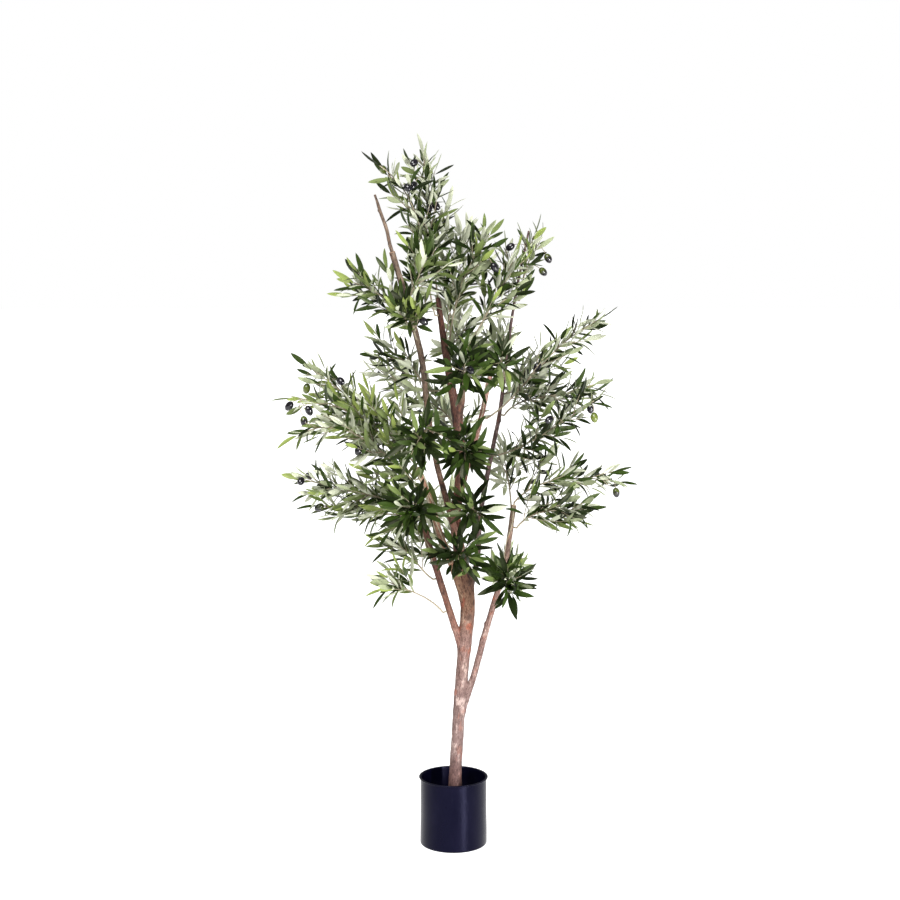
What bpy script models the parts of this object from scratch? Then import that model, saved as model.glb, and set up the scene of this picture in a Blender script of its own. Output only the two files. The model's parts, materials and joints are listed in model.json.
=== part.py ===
"""A potted artificial olive tree, in metres, +Z up, on the plane z = 0 with its front toward -Y.

A dark, nearly cylindrical pot holds a heavy fill. A crooked trunk of real wood stands on the
fill, and slender boughs leave it. Wire-stemmed sprays of leaves and olives grow from the
trunk and the boughs. Each spray is one closed body that keeps to its own space in the crown.
"""

import math
import random
from dataclasses import dataclass

import bmesh
import bpy
import numpy as np
from mathutils import Matrix, Vector
from mathutils.bvhtree import BVHTree

# The gap left between pieces that touch on the real tree
CLEARANCE = 0.0003

# Pot and fill
POT_HEIGHT = 0.175
RIM_RADIUS = 0.088
NECK_RADIUS = 0.0840
FOOT_RADIUS = 0.0850
FOOT_CORNER = 0.004
LIP_HEIGHT = 0.0045
POT_WALL = 0.0025
FILL_TOP = 0.105
TURN_STEPS = 32

# Limbs are smooth curves through a few guide rows: the sides of a tube are 4 + 2 x bevel
STEPS_PER_STRETCH = 2
TRUNK_BEVEL = 3
BOUGH_BEVEL = 2
TIP_BEVEL = 0
COLLAR_SHARE = 0.4
CUTTER_GROWTH = 1.05 * CLEARANCE
SHARP_ANGLE = math.radians(50)

# Wire stems: a short straight collar, then a bend that starts and ends over these shares
STEM_FOOT_RADIUS = 0.0022
STEM_TIP_RADIUS = 0.0013
STEM_COLLAR = 0.008
STEM_STRETCHES = 5
LEAVING_SHARE = 0.25
ARRIVING_SHARE = 0.35

# Side twigs, shorter toward the tip of their stem
TWIG_FOOT_RADIUS = 0.0016
TWIG_TIP_RADIUS = 0.0011
TWIG_LENGTH = 0.085
TWIG_STRETCHES = 2
TWIG_ANGLE = math.radians(42)
TWIG_BEND = 0.6
TWIG_SHORTENING = 1.3
TWIG_SIZES = (0.85, 1.15)
TWIG_BARE = 0.3
FIRST_TWIG_SHARE = 0.2
LAST_TWIG = 0.9
TWIG_TRIES = 8
GOLDEN_ANGLE = math.radians(137.5)

# Leaves and olives, larger than life because each leaf stands for several
LEAF_LENGTH = 0.070
LEAF_WIDTH = 0.0205
LEAF_THICKNESS = 0.0018
LEAF_WAIST = 0.42
LEAF_ANGLE = math.radians(44)
LEAF_ANGLE_SPREAD = 0.16
LEAF_ROLL_SPREAD = 0.35
LEAF_SPACING = 0.040
FIRST_LEAF_SHARE = 0.25
TIP_LEAF_SHARE = 0.85
LEAF_SIZES = (0.85, 1.1)
LEAF_HEEL = 0.3
OLIVE_LENGTH = 0.024
OLIVE_WIDTH = 0.017
OLIVE_SWING = 0.35
ROOT_DEPTH = 0.0003
OLIVE_DEPTH = 0.0012

# One seed for everything that grows
SEED = 1

# How far leaves and twigs stay from the limbs, from other sprays and from each other
LIMB_MARGIN = 0.004
SPACE_MARGIN = 0.004
TWIG_MARGIN = 0.020
LEAF_MARGIN = 0.007
WIRE_SAMPLING = 0.004

# Colours, as linear RGB
POT_BLACK = (0.012, 0.014, 0.022)
FILL_GREY = (0.05, 0.045, 0.04)
PALE_BARK = (0.32, 0.22, 0.17)
RED_BARK = (0.20, 0.11, 0.075)
PURPLE_BARK = (0.10, 0.05, 0.055)
LEAF_GREEN = (0.10, 0.15, 0.07)


@dataclass(frozen=True)
class Limb:
    """A tapering limb, with guide rows of (x, y, z, radius) from its foot to its cut end."""

    name: str
    parent: str
    colour: tuple
    bevel: int
    guides: tuple


@dataclass(frozen=True)
class Spray:
    """A spray of leaves on one stem.

    The stem leaves its limb at the fraction `at` of the limb's length. Its last leaf ends at
    `reach` metres from its foot, at `bearing` degrees from +X toward +Y and `rise` degrees
    above level, and turns up there by `curl` degrees. Its stem first leans along the limb, the
    more so the greater `lean` is. The first part of the stem, the fraction `bare`, has no
    leaves, and `fruit` lists the fractions where an olive hangs.
    """

    name: str
    limb: str
    at: float
    bearing: float
    rise: float
    reach: float
    curl: float = 0.0
    lean: float = 0.45
    bare: float = 0.35
    twigs: int = 2
    fruit: tuple = ()


LIMBS = (
    Limb("trunk", "", PALE_BARK, TRUNK_BEVEL, (
        (0.006, 0.000, FILL_TOP + CLEARANCE, 0.0190),
        (0.006, 0.000, 0.203, 0.0161),
        (0.020, 0.000, 0.426, 0.0155),
        (0.036, 0.000, 0.638, 0.0182),
        (0.006, 0.008, 0.823, 0.0131),
        (0.021, 0.008, 0.985, 0.0128),
        (0.010, 0.010, 1.084, 0.0118),
        (-0.020, 0.014, 1.259, 0.0090),
        (-0.039, 0.020, 1.393, 0.0060),
    )),
    Limb("low_left_bough", "trunk", RED_BARK, BOUGH_BEVEL, (
        (0.024, 0.000, 0.504, 0.0105),
        (-0.004, -0.008, 0.588, 0.0086),
        (-0.061, -0.040, 0.781, 0.0080),
        (-0.075, -0.050, 0.845, 0.0072),
    )),
    Limb("mid_left_bough", "trunk", RED_BARK, BOUGH_BEVEL, (
        (0.030, 0.000, 0.628, 0.0105),
        (-0.002, -0.020, 0.719, 0.0085),
        (-0.036, -0.060, 0.820, 0.0077),
        (-0.058, -0.085, 0.901, 0.0074),
        (-0.089, -0.105, 0.982, 0.0068),
    )),
    Limb("tall_left_bough", "trunk", RED_BARK, BOUGH_BEVEL, (
        (0.010, 0.006, 0.785, 0.0090),
        (-0.018, -0.045, 0.895, 0.0077),
        (-0.046, -0.075, 1.011, 0.0069),
        (-0.065, -0.095, 1.136, 0.0068),
        (-0.079, -0.115, 1.259, 0.0072),
        (-0.115, -0.140, 1.397, 0.0074),
        (-0.146, -0.160, 1.506, 0.0070),
    )),
    Limb("tall_left_tip", "tall_left_bough", RED_BARK, TIP_BEVEL, (
        (-0.160, -0.165, 1.563, 0.0042),
        (-0.173, -0.168, 1.600, 0.0038),
        (-0.186, -0.170, 1.640, 0.0026),
    )),
    Limb("tall_right_bough", "trunk", PURPLE_BARK, BOUGH_BEVEL, (
        (0.034, 0.000, 0.633, 0.0086),
        (0.060, 0.040, 0.728, 0.0071),
        (0.069, 0.065, 0.841, 0.0066),
        (0.097, 0.077, 0.996, 0.0056),
        (0.117, 0.085, 1.095, 0.0053),
        (0.134, 0.076, 1.237, 0.0043),
        (0.155, 0.060, 1.394, 0.0035),
        (0.188, 0.055, 1.558, 0.0025),
    )),
    Limb("back_right_bough", "trunk", RED_BARK, BOUGH_BEVEL, (
        (0.020, 0.008, 0.927, 0.0085),
        (0.043, 0.030, 0.996, 0.0073),
        (0.070, 0.060, 1.089, 0.0066),
        (0.094, 0.085, 1.199, 0.0061),
    )),
    Limb("low_right_bough", "trunk", PALE_BARK, BOUGH_BEVEL, (
        (0.018, 0.000, 0.342, 0.0105),
        (0.050, -0.004, 0.432, 0.0083),
        (0.075, -0.012, 0.532, 0.0081),
        (0.099, -0.020, 0.619, 0.0073),
        (0.129, -0.030, 0.731, 0.0070),
        (0.150, -0.040, 0.880, 0.0067),
    )),
    Limb("short_stub", "trunk", PALE_BARK, BOUGH_BEVEL, (
        (0.011, 0.010, 1.079, 0.0080),
        (0.022, 0.005, 1.144, 0.0072),
        (0.021, -0.010, 1.225, 0.0062),
    )),
)

SPRAYS = (
    # The top of the crown
    Spray(
        "leader_spray", "trunk", 1.0, 148, 83, 0.41, curl=-1, lean=0.49, bare=0.4, twigs=5,
        fruit=(0.62, 0.78, 0.88),
    ),
    Spray("high_left_spray", "trunk", 0.967, 201, 63, 0.443, curl=-32, lean=0.87, bare=0.45, fruit=(0.85,)),
    Spray("tall_front_spray", "trunk", 0.916, 325, 61, 0.345, curl=-15, lean=1.18, twigs=3, fruit=(0.7,)),
    Spray("behind_leader_spray", "trunk", 0.932, 67, 55, 0.357, curl=-26, lean=0.05, bare=0.2),
    Spray(
        "upper_left_spray", "tall_left_bough", 0.849, 57, 81, 0.156, curl=35, lean=-0.43,
        bare=0.15, twigs=1,
    ),
    Spray("left_crown_spray", "tall_left_bough", 0.786, 189, 30, 0.212, curl=-8, lean=0.76),
    Spray("front_crown_spray", "tall_left_bough", 0.717, 253, 40, 0.138, curl=-8, lean=-0.22, fruit=(0.4,)),
    Spray(
        "right_crown_spray", "tall_right_bough", 0.817, 344, 74, 0.224, curl=-2, lean=1.44,
        bare=0.15, fruit=(0.3, 0.6),
    ),
    Spray("high_right_spray", "short_stub", 1.0, 10, 65, 0.366, curl=5, lean=0.2, fruit=(0.8,)),
    # The right side
    Spray(
        "upper_right_spray", "back_right_bough", 0.611, 358, 39, 0.437, curl=-12, lean=-0.19,
        twigs=3, fruit=(0.4,),
    ),
    Spray("right_spray", "tall_right_bough", 0.507, 332, 20, 0.326, curl=5, lean=1.13, fruit=(0.8,)),
    Spray(
        "right_front_spray", "tall_right_bough", 0.396, 318, 27, 0.416, curl=4, lean=-0.24,
        bare=0.5, fruit=(0.7,),
    ),
    Spray(
        "long_right_spray", "low_right_bough", 1.0, 13, 7, 0.336, curl=-17, lean=1.24, bare=0.3,
        fruit=(0.85,),
    ),
    Spray("low_right_spray", "low_right_bough", 0.902, 340, 14, 0.248, curl=-9, lean=1.3, bare=0.3),
    # The left side
    Spray("long_left_spray", "mid_left_bough", 1.0, 175, 42, 0.419, curl=-6, lean=0.6, fruit=(0.6, 0.85)),
    Spray(
        "left_spray", "mid_left_bough", 0.933, 199, 29, 0.419, curl=-30, lean=1.55, twigs=3,
        fruit=(0.78, 0.9),
    ),
    Spray("level_left_spray", "mid_left_bough", 0.853, 209, 18, 0.404, curl=-45, lean=1.64, fruit=(0.3,)),
    Spray(
        "low_left_spray", "mid_left_bough", 0.748, 181, 12, 0.378, curl=3, lean=-0.11, bare=0.4,
        twigs=3, fruit=(0.6, 0.85),
    ),
    Spray(
        "drooping_left_spray", "low_left_bough", 1.0, 186, 9, 0.319, curl=1, lean=-0.05, bare=0.3,
        fruit=(0.8,),
    ),
    Spray("lowest_left_spray", "low_left_bough", 0.31, 200, 28, 0.242, curl=-3, lean=1.0, bare=0.3),
    Spray("lower_left_spray", "low_left_bough", 0.559, 176, 33, 0.212, curl=-13, lean=0.03, bare=0.2),
    # The front
    Spray(
        "front_centre_spray", "short_stub", 0.695, 271, 18, 0.27, curl=2, lean=-0.06, bare=0.4,
        fruit=(0.35, 0.5),
    ),
    Spray(
        "front_right_spray", "tall_right_bough", 0.612, 266, 18, 0.29, curl=12, lean=0.66,
        bare=0.5, twigs=3,
    ),
    Spray("middle_front_spray", "trunk", 0.681, 273, 19, 0.19, curl=-4, lean=1.53, bare=0.4, twigs=3),
    Spray("middle_left_spray", "tall_left_bough", 0.431, 262, -8, 0.263, curl=-3, lean=-0.17, twigs=3),
    Spray("front_left_spray", "mid_left_bough", 0.662, 251, 17, 0.229, curl=2, lean=1.26, twigs=3),
    Spray("centre_front_spray", "tall_right_bough", 0.238, 263, 12, 0.265, curl=-1, lean=-0.23, bare=0.5),
    Spray("low_front_spray", "low_right_bough", 0.622, 282, 19, 0.175, lean=-0.11, bare=0.4, twigs=3),
    Spray("low_centre_spray", "trunk", 0.511, 269, -2, 0.225, curl=-9, lean=-0.1, bare=0.45),
    # The back
    Spray("inner_left_spray", "trunk", 0.76, 132, 23, 0.17, curl=-2, bare=0.25, twigs=1),
    Spray("back_left_spray", "tall_left_bough", 0.571, 131, 33, 0.263, curl=8, lean=0.61),
    Spray("back_right_spray", "low_right_bough", 0.96, 95, 30, 0.315, curl=-9, bare=0.3),
    Spray("back_side_spray", "back_right_bough", 1.0, 81, 26, 0.254, curl=-8, bare=0.25),
    Spray("back_upper_spray", "trunk", 0.88, 79, 22, 0.356, curl=14, bare=0.3),
    Spray("back_middle_spray", "trunk", 0.71, 100, 16, 0.326, curl=-7, bare=0.3),
    Spray("back_low_spray", "trunk", 0.55, 113, 10, 0.272, curl=-8),
    Spray("back_left_high_spray", "trunk", 0.825, 132, 11, 0.351, curl=15, lean=-0.44),
    Spray("back_left_low_spray", "trunk", 0.48, 133, 12, 0.29, curl=-16),
    Spray("back_right_high_spray", "tall_right_bough", 0.56, 61, 15, 0.266, lean=0.07, bare=0.3),
    Spray("back_right_low_spray", "low_right_bough", 0.57, 78, 23, 0.267, curl=12),
)


def unit(vector):
    """The vector at length one."""
    return vector / np.linalg.norm(vector)


def heading(bearing, rise):
    """The unit vector at a bearing from +X toward +Y and a rise above level, in degrees."""
    turn, lift = math.radians(bearing), math.radians(rise)
    return np.array([math.cos(lift) * math.cos(turn), math.cos(lift) * math.sin(turn), math.sin(lift)])


def smooth_rows(guides):
    """Rows along the smooth curve that runs through the guide rows."""
    guides = np.array(guides)
    padded = np.vstack([2 * guides[0] - guides[1], guides, 2 * guides[-1] - guides[-2]])
    t = np.arange(STEPS_PER_STRETCH)[:, None] / STEPS_PER_STRETCH
    stretches = []
    for before, start, end, after in zip(padded, padded[1:], padded[2:], padded[3:]):
        bend = 2 * before - 5 * start + 4 * end - after
        twist = 3 * start - before - 3 * end + after
        stretches.append(start + 0.5 * ((end - before) * t + bend * t**2 + twist * t**3))
    return np.vstack([*stretches, guides[-1:]])


def at_fraction(rows, fraction):
    """The row at a fraction of a path's length, and the path's direction there."""
    steps = np.linalg.norm(np.diff(rows[:, :3], axis=0), axis=1)
    marks = np.concatenate([[0.0], np.cumsum(steps)])
    distance = fraction * marks[-1]
    row = np.array([np.interp(distance, marks, column) for column in rows.T])
    stretch = min(int(np.searchsorted(marks, distance, side="right")) - 1, len(steps) - 1)
    return row, unit(rows[stretch + 1, :3] - rows[stretch, :3])


def path_length(rows):
    """The length of a path."""
    return float(np.linalg.norm(np.diff(rows[:, :3], axis=0), axis=1).sum())


def side_axis(along, roll):
    """The unit vector square to `along`, turned round it by `roll` from level."""
    reference = np.array([0.0, 0.0, 1.0]) if abs(along[2]) < 0.94 else np.array([0.0, 1.0, 0.0])
    level = unit(np.cross(reference, along))
    return math.cos(roll) * level + math.sin(roll) * np.cross(along, level)


def limb_rows(limb, grown):
    """A limb's rows. The trunk starts upright, and a bough's tip square on its cut end."""
    if limb.parent == "":
        rows = smooth_rows(limb.guides)
        rows[1, :2] = rows[0, :2]
        return rows
    if limb.parent == "trunk":
        return smooth_rows(limb.guides)
    end, along = at_fraction(grown[limb.parent], 1.0)
    start = end[:3] + CLEARANCE * along
    first_guide = np.array(limb.guides[0])
    collar = start + COLLAR_SHARE * np.linalg.norm(first_guide[:3] - start) * along
    return smooth_rows(((*start, first_guide[3]), (*collar, first_guide[3]), *limb.guides))


def stem_rows(spray, foot, outward, along):
    """A stem's rows: a collar outward from its limb, then a bend that leans along the limb."""
    aim = heading(spray.bearing, spray.rise)
    arrival = heading(spray.bearing, spray.rise + spray.curl)
    collar = foot + STEM_COLLAR * outward
    tip = foot + spray.reach * aim - TIP_LEAF_SHARE * LEAF_LENGTH * arrival
    leaving = collar + LEAVING_SHARE * spray.reach * unit(aim + spray.lean * along)
    arriving = tip - ARRIVING_SHARE * spray.reach * arrival
    s = np.linspace(0.0, 1.0, STEM_STRETCHES + 1)[:, None]
    curve = (
        (1 - s) ** 3 * collar
        + 3 * (1 - s) ** 2 * s * leaving
        + 3 * (1 - s) * s**2 * arriving
        + s**3 * tip
    )
    radii = np.linspace(STEM_FOOT_RADIUS, STEM_TIP_RADIUS, len(curve) + 1)
    return np.column_stack([np.vstack([foot, curve]), radii])


def twig_rows(foot, along, side, length):
    """A side twig's rows: it leaves its stem at an angle and bends back along it."""
    start = math.cos(TWIG_ANGLE) * along + math.sin(TWIG_ANGLE) * side
    bend = unit(start + TWIG_BEND * along) - start
    s = np.linspace(0.0, 1.0, TWIG_STRETCHES + 1)[:, None]
    places = foot + length * (s * start + 0.5 * s**2 * bend)
    radii = np.linspace(TWIG_FOOT_RADIUS, TWIG_TIP_RADIUS, len(places))
    return np.column_stack([places, radii])


def dense_rows(rows):
    """Rows spaced evenly and closely along a path."""
    count = max(2, int(path_length(rows) / WIRE_SAMPLING) + 1)
    return np.array([at_fraction(rows, fraction)[0] for fraction in np.linspace(0.0, 1.0, count)])


def nearest(points, targets):
    """The distance from each point to the nearest target."""
    if len(targets) == 0:
        return np.full(len(points), np.inf)
    return np.linalg.norm(points[:, None, :] - targets[None, :, :], axis=2).min(axis=1)


class Crown:
    """What the growing twigs and leaves keep clear of: the limbs, and each spray's wires."""

    def __init__(self, limbs):
        self.limb_rows = np.vstack([dense_rows(rows) for rows in limbs.values()])
        self.wires = {}

    def add_wire(self, owner, rows):
        """Record a stem or twig as part of its spray."""
        self.wires.setdefault(owner, []).append(dense_rows(rows)[:, :3])

    def limb_gap(self, points):
        """How far each point is outside the nearest limb."""
        offsets = points[:, None, :] - self.limb_rows[None, :, :3]
        return (np.linalg.norm(offsets, axis=2) - self.limb_rows[:, 3]).min(axis=1)

    def others(self, owner):
        """The points of every other spray's wires."""
        return np.vstack([wire for name, wires in self.wires.items() if name != owner for wire in wires])

    def has_room(self, owner, points):
        """Whether the points keep clear of the limbs and stay in their own spray's space."""
        if self.limb_gap(points).min() < LIMB_MARGIN:
            return False
        own = nearest(points, np.vstack(self.wires[owner]))
        return bool((nearest(points, self.others(owner)) - own > SPACE_MARGIN).all())


def clear_scene():
    """Remove every object of the scene."""
    for leftover in list(bpy.data.objects):
        bpy.data.objects.remove(leftover)


def new_collection(name):
    """A collection in the scene."""
    collection = bpy.data.collections.new(name)
    bpy.context.scene.collection.children.link(collection)
    return collection


def new_finish(name, colour, roughness):
    """A plain material with the part's colour and roughness."""
    material = bpy.data.materials.new(name)
    material.use_nodes = True
    material.diffuse_color = (*colour, 1.0)
    shader = material.node_tree.nodes["Principled BSDF"]
    shader.inputs["Base Color"].default_value = (*colour, 1.0)
    shader.inputs["Roughness"].default_value = roughness
    shader.inputs["Metallic"].default_value = 0.0
    return material


def new_object(name, data, collection):
    """An object for the data, in the collection."""
    made = bpy.data.objects.new(name, data)
    collection.objects.link(made)
    return made


def turned(name, profile, collection):
    """A solid of revolution round the Z axis, from a profile that ends on the axis."""
    mesh = bpy.data.meshes.new(name)
    edges = [(k, k + 1) for k in range(len(profile) - 1)]
    mesh.from_pydata([(radius, 0.0, height) for radius, height in profile], edges, [])
    solid = new_object(name, mesh, collection)
    screw = solid.modifiers.new("turned", "SCREW")
    screw.axis = "Z"
    screw.steps = TURN_STEPS
    screw.render_steps = TURN_STEPS
    screw.use_merge_vertices = True
    screw.merge_threshold = 0.0001
    screw.use_smooth_shade = False
    return solid


def arc(centre, radius, start, end, count):
    """Points (radius, height) of an arc, from one angle to another, in degrees."""
    angles = np.radians(np.linspace(start, end, count))
    return [(centre[0] + radius * math.cos(a), centre[1] + radius * math.sin(a)) for a in angles]


def build_pot(collection):
    """The open pot, with its floor, its out-turned lip and its rounded foot."""
    corner = arc((FOOT_RADIUS - FOOT_CORNER, FOOT_CORNER), FOOT_CORNER, 0, -90, 4)
    profile = [
        (0.0, POT_WALL),
        (FOOT_RADIUS - POT_WALL, POT_WALL),
        (NECK_RADIUS - POT_WALL, POT_HEIGHT),
        (RIM_RADIUS, POT_HEIGHT),
        (RIM_RADIUS, POT_HEIGHT - LIP_HEIGHT),
        (NECK_RADIUS, POT_HEIGHT - LIP_HEIGHT),
        *corner,
        (0.0, 0.0),
    ]
    pot = turned("pot", profile, collection)
    pot.data.materials.append(new_finish("satin black pot", POT_BLACK, 0.35))
    return pot


def build_fill(collection):
    """The heavy fill that holds the trunk's foot, just clear of the pot's wall and floor."""
    share = FILL_TOP / POT_HEIGHT
    top_radius = FOOT_RADIUS + (NECK_RADIUS - FOOT_RADIUS) * share - POT_WALL - 2 * CLEARANCE
    bottom_radius = FOOT_RADIUS - POT_WALL - 2 * CLEARANCE
    bottom = POT_WALL + CLEARANCE
    profile = [(0.0, FILL_TOP), (top_radius, FILL_TOP), (bottom_radius, bottom), (0.0, bottom)]
    fill = turned("fill", profile, collection)
    fill.data.materials.append(new_finish("dark fill", FILL_GREY, 0.9))
    return fill


def new_curve(name, rows, collection, bevel=0, profile=None):
    """A tapering tube along the rows: round, or with a profile object's outline."""
    curve = bpy.data.curves.new(name, "CURVE")
    curve.dimensions = "3D"
    curve.use_fill_caps = True
    if profile is None:
        curve.bevel_depth = 1.0
        curve.bevel_resolution = bevel
    else:
        curve.bevel_mode = "OBJECT"
        curve.bevel_object = profile
    spline = curve.splines.new("POLY")
    spline.points.add(len(rows) - 1)
    places = np.hstack([rows[:, :3], np.ones((len(rows), 1))])
    spline.points.foreach_set("co", places.ravel())
    spline.points.foreach_set("radius", rows[:, 3].copy())
    return new_object(name, curve, collection)


def as_solid(source, collection):
    """Replace a curve object by its mesh, with the end caps welded on."""
    evaluated = source.evaluated_get(bpy.context.evaluated_depsgraph_get())
    mesh = bpy.data.meshes.new_from_object(evaluated)
    shell = bmesh.new()
    shell.from_mesh(mesh)
    bmesh.ops.remove_doubles(shell, verts=shell.verts, dist=0.00001)
    shell.to_mesh(mesh)
    shell.free()
    name = source.name
    place = source.matrix_world.copy()
    bpy.data.objects.remove(source)
    solid = new_object(name, mesh, collection)
    solid.matrix_world = place
    return solid


def new_profile(collection):
    """A clockwise triangle of radius one, the cross-section of every stem and twig."""
    curve = bpy.data.curves.new("wire profile", "CURVE")
    spline = curve.splines.new("POLY")
    spline.points.add(2)
    spline.use_cyclic_u = True
    for point, turn in zip(spline.points, (0, 1, 2)):
        angle = -math.tau * turn / 3
        point.co = (math.cos(angle), math.sin(angle), 0.0, 1.0)
    profile = new_object("wire profile", curve, collection)
    profile.hide_render = True
    profile.display_type = "WIRE"
    return profile


def applied(solid, modifier_name):
    """Apply an object's one modifier."""
    evaluated = solid.evaluated_get(bpy.context.evaluated_depsgraph_get())
    mesh = bpy.data.meshes.new_from_object(evaluated)
    solid.modifiers.remove(solid.modifiers[modifier_name])
    solid.data = mesh
    return solid


def cut_away(solid, cutter):
    """Cut a solid by another."""
    cut = solid.modifiers.new("cut", "BOOLEAN")
    cut.operation = "DIFFERENCE"
    cut.object = cutter
    cut.solver = "EXACT"
    applied(solid, "cut")


def keep_main_body(solid):
    """Drop the loose scraps and the sealed hollows that a union leaves."""
    shell = bmesh.new()
    shell.from_mesh(solid.data)
    unseen = set(shell.verts)
    bodies = []
    while unseen:
        front = [unseen.pop()]
        body = set(front)
        while front:
            vertex = front.pop()
            for edge in vertex.link_edges:
                other = edge.other_vert(vertex)
                if other in unseen:
                    unseen.remove(other)
                    body.add(other)
                    front.append(other)
        bodies.append(body)
    largest = max(bodies, key=len)
    scraps = [vertex for vertex in shell.verts if vertex not in largest]
    bmesh.ops.delete(shell, geom=scraps, context="VERTS")
    shell.to_mesh(solid.data)
    shell.free()


def fuse(core, pieces):
    """Join the pieces to the core with one union on their collection."""
    collection = bpy.data.collections.new(core.name + " pieces")
    for piece in pieces:
        collection.objects.link(piece)
    union = core.modifiers.new("joined", "BOOLEAN")
    union.operation = "UNION"
    union.operand_type = "COLLECTION"
    union.collection = collection
    union.solver = "EXACT"
    applied(core, "joined")
    keep_main_body(core)
    for piece in pieces:
        bpy.data.objects.remove(piece)
    bpy.data.collections.remove(collection)


def build_limbs(collection, guides):
    """The trunk and the boughs: each bough is cut by the trunk, fattened by the clearance."""
    grown = {}
    solids = {}
    for limb in LIMBS:
        rows = limb_rows(limb, grown)
        grown[limb.name] = rows
        solid = as_solid(new_curve(limb.name, rows, collection, bevel=limb.bevel), collection)
        solid.data.shade_smooth()
        solid.data.set_sharp_from_angle(angle=SHARP_ANGLE)
        if limb.parent == "trunk":
            cut_away(solid, fat_trunk)
        elif limb.parent == "":
            fat_rows = rows + np.array([0.0, 0.0, 0.0, CUTTER_GROWTH])
            fat_trunk = as_solid(new_curve("trunk cutter", fat_rows, guides, bevel=limb.bevel), guides)
            fat_trunk.hide_render = True
            fat_trunk.display_type = "WIRE"
        solid.data.materials.append(new_finish(limb.name + " bark", limb.colour, 0.8))
        solids[limb.name] = solid
    return grown, solids


def surface_of(solid):
    """A solid's surface, for finding where a stem meets it."""
    shell = bmesh.new()
    shell.from_mesh(solid.data)
    surface = BVHTree.FromBMesh(shell)
    shell.free()
    return surface


def clear_of(surface, foot, outward):
    """Whether a stem's foot, a small disc, is clear of a limb's surface."""
    for share, turn in [(0, 0)] + [(1, k) for k in range(6)]:
        spoke = side_axis(outward, math.tau * turn / 6)
        probe = Vector(foot + share * STEM_FOOT_RADIUS * spoke)
        spot, normal, _, distance = surface.find_nearest(probe)
        if distance < CLEARANCE or (probe - spot).dot(normal) < 0:
            return False
    return True


def seated_stem(spray, limb, surface):
    """A stem's rows, with its foot as close to its limb as the clearance allows."""
    row, along = at_fraction(limb, spray.at)
    if spray.at >= 1:
        outward = along
        start = row[:3]
    else:
        aim = heading(spray.bearing, spray.rise)
        outward = unit(aim - (aim @ along) * along)
        start = row[:3] + 0.5 * row[3] * outward
    lift = 0.0
    while not clear_of(surface, start + lift * outward, outward):
        lift += CLEARANCE / 3
    return stem_rows(spray, start + lift * outward, outward, along)


def grow_twigs(spray, stem, crown):
    """A spray's side twigs: each leaves the stem on another side, where there is room."""
    rng = random.Random(f"{spray.name} twigs {SEED}")
    roll = rng.uniform(0.0, math.tau)
    twigs = []
    for k in range(spray.twigs):
        fraction = spray.bare + (LAST_TWIG - spray.bare) * (k + FIRST_TWIG_SHARE) / spray.twigs
        row, along = at_fraction(stem, fraction)
        length = TWIG_LENGTH * (TWIG_SHORTENING - fraction) * rng.uniform(*TWIG_SIZES)
        for _ in range(TWIG_TRIES):
            roll += GOLDEN_ANGLE
            rows = twig_rows(row[:3], along, side_axis(along, roll), length)
            points = dense_rows(rows)[:, :3]
            crowded = nearest(points, crown.others(spray.name)).min() < TWIG_MARGIN
            if not crowded and crown.limb_gap(points).min() > LIMB_MARGIN:
                twigs.append(rows)
                crown.add_wire(spray.name, rows)
                break
    return twigs


def leaf_frames(rows, bare, rng):
    """The root, direction, face and size of each leaf on a wire: pairs, then one at the tip."""
    count = max(1, round((1 - bare) * path_length(rows) / LEAF_SPACING))
    roll = rng.uniform(0.0, math.tau)
    for k in range(count):
        row, along = at_fraction(rows, bare + (1 - bare) * (k + FIRST_LEAF_SHARE) / count)
        roll += math.pi / 2 + rng.uniform(-LEAF_ROLL_SPREAD, LEAF_ROLL_SPREAD)
        for turn in (0.0, math.pi):
            angle = LEAF_ANGLE + rng.uniform(-LEAF_ANGLE_SPREAD, LEAF_ANGLE_SPREAD)
            aim = math.cos(angle) * along + math.sin(angle) * side_axis(along, roll + turn)
            face = unit(along - (along @ aim) * aim)
            yield row[:3], aim, face, rng.uniform(*LEAF_SIZES)
    row, along = at_fraction(rows, 1.0)
    root = row[:3] - (1 - TIP_LEAF_SHARE) * LEAF_LENGTH * along
    yield root, along, side_axis(along, roll), 1.0


def leaf_points(root, aim, face, size):
    """Points over a leaf, for testing where it reaches."""
    across = np.cross(face, aim)
    along = np.linspace(0.2, 1.0, 9)
    half_width = 0.5 * LEAF_WIDTH * np.minimum(along / LEAF_WAIST, (1 - along) / (1 - LEAF_WAIST))
    middle = root + size * LEAF_LENGTH * along[:, None] * aim
    edge = size * half_width[:, None] * across
    return np.vstack([middle, middle + edge, middle - edge])


def frame_matrix(origin, across, face, aim, sizes):
    """The matrix that places a shape of size one at an origin, on three axes, at three sizes."""
    matrix = Matrix.Identity(4)
    for column, axis, size in zip(range(3), (across, face, aim), sizes):
        matrix.col[column][:3] = size * axis
    matrix.col[3][:3] = origin
    return matrix


def new_leaf_shape():
    """A keeled leaf of six faces and size one: its root at the origin, its tip along +Z."""
    shell = bmesh.new()
    bmesh.ops.create_uvsphere(shell, u_segments=3, v_segments=2, radius=0.5)
    waist = [vertex for vertex in shell.verts if abs(vertex.co.z) < 0.1]
    for vertex in shell.verts:
        if vertex not in waist:
            vertex.co.z += 0.5
        elif abs(vertex.co.x) < 0.1:
            vertex.co = (0.0, -1.0, LEAF_WAIST)
        else:
            vertex.co = (math.copysign(0.5, -vertex.co.x), 0.0, LEAF_WAIST)
    shape = bpy.data.meshes.new("leaf")
    shell.to_mesh(shape)
    shell.free()
    return shape


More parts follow.
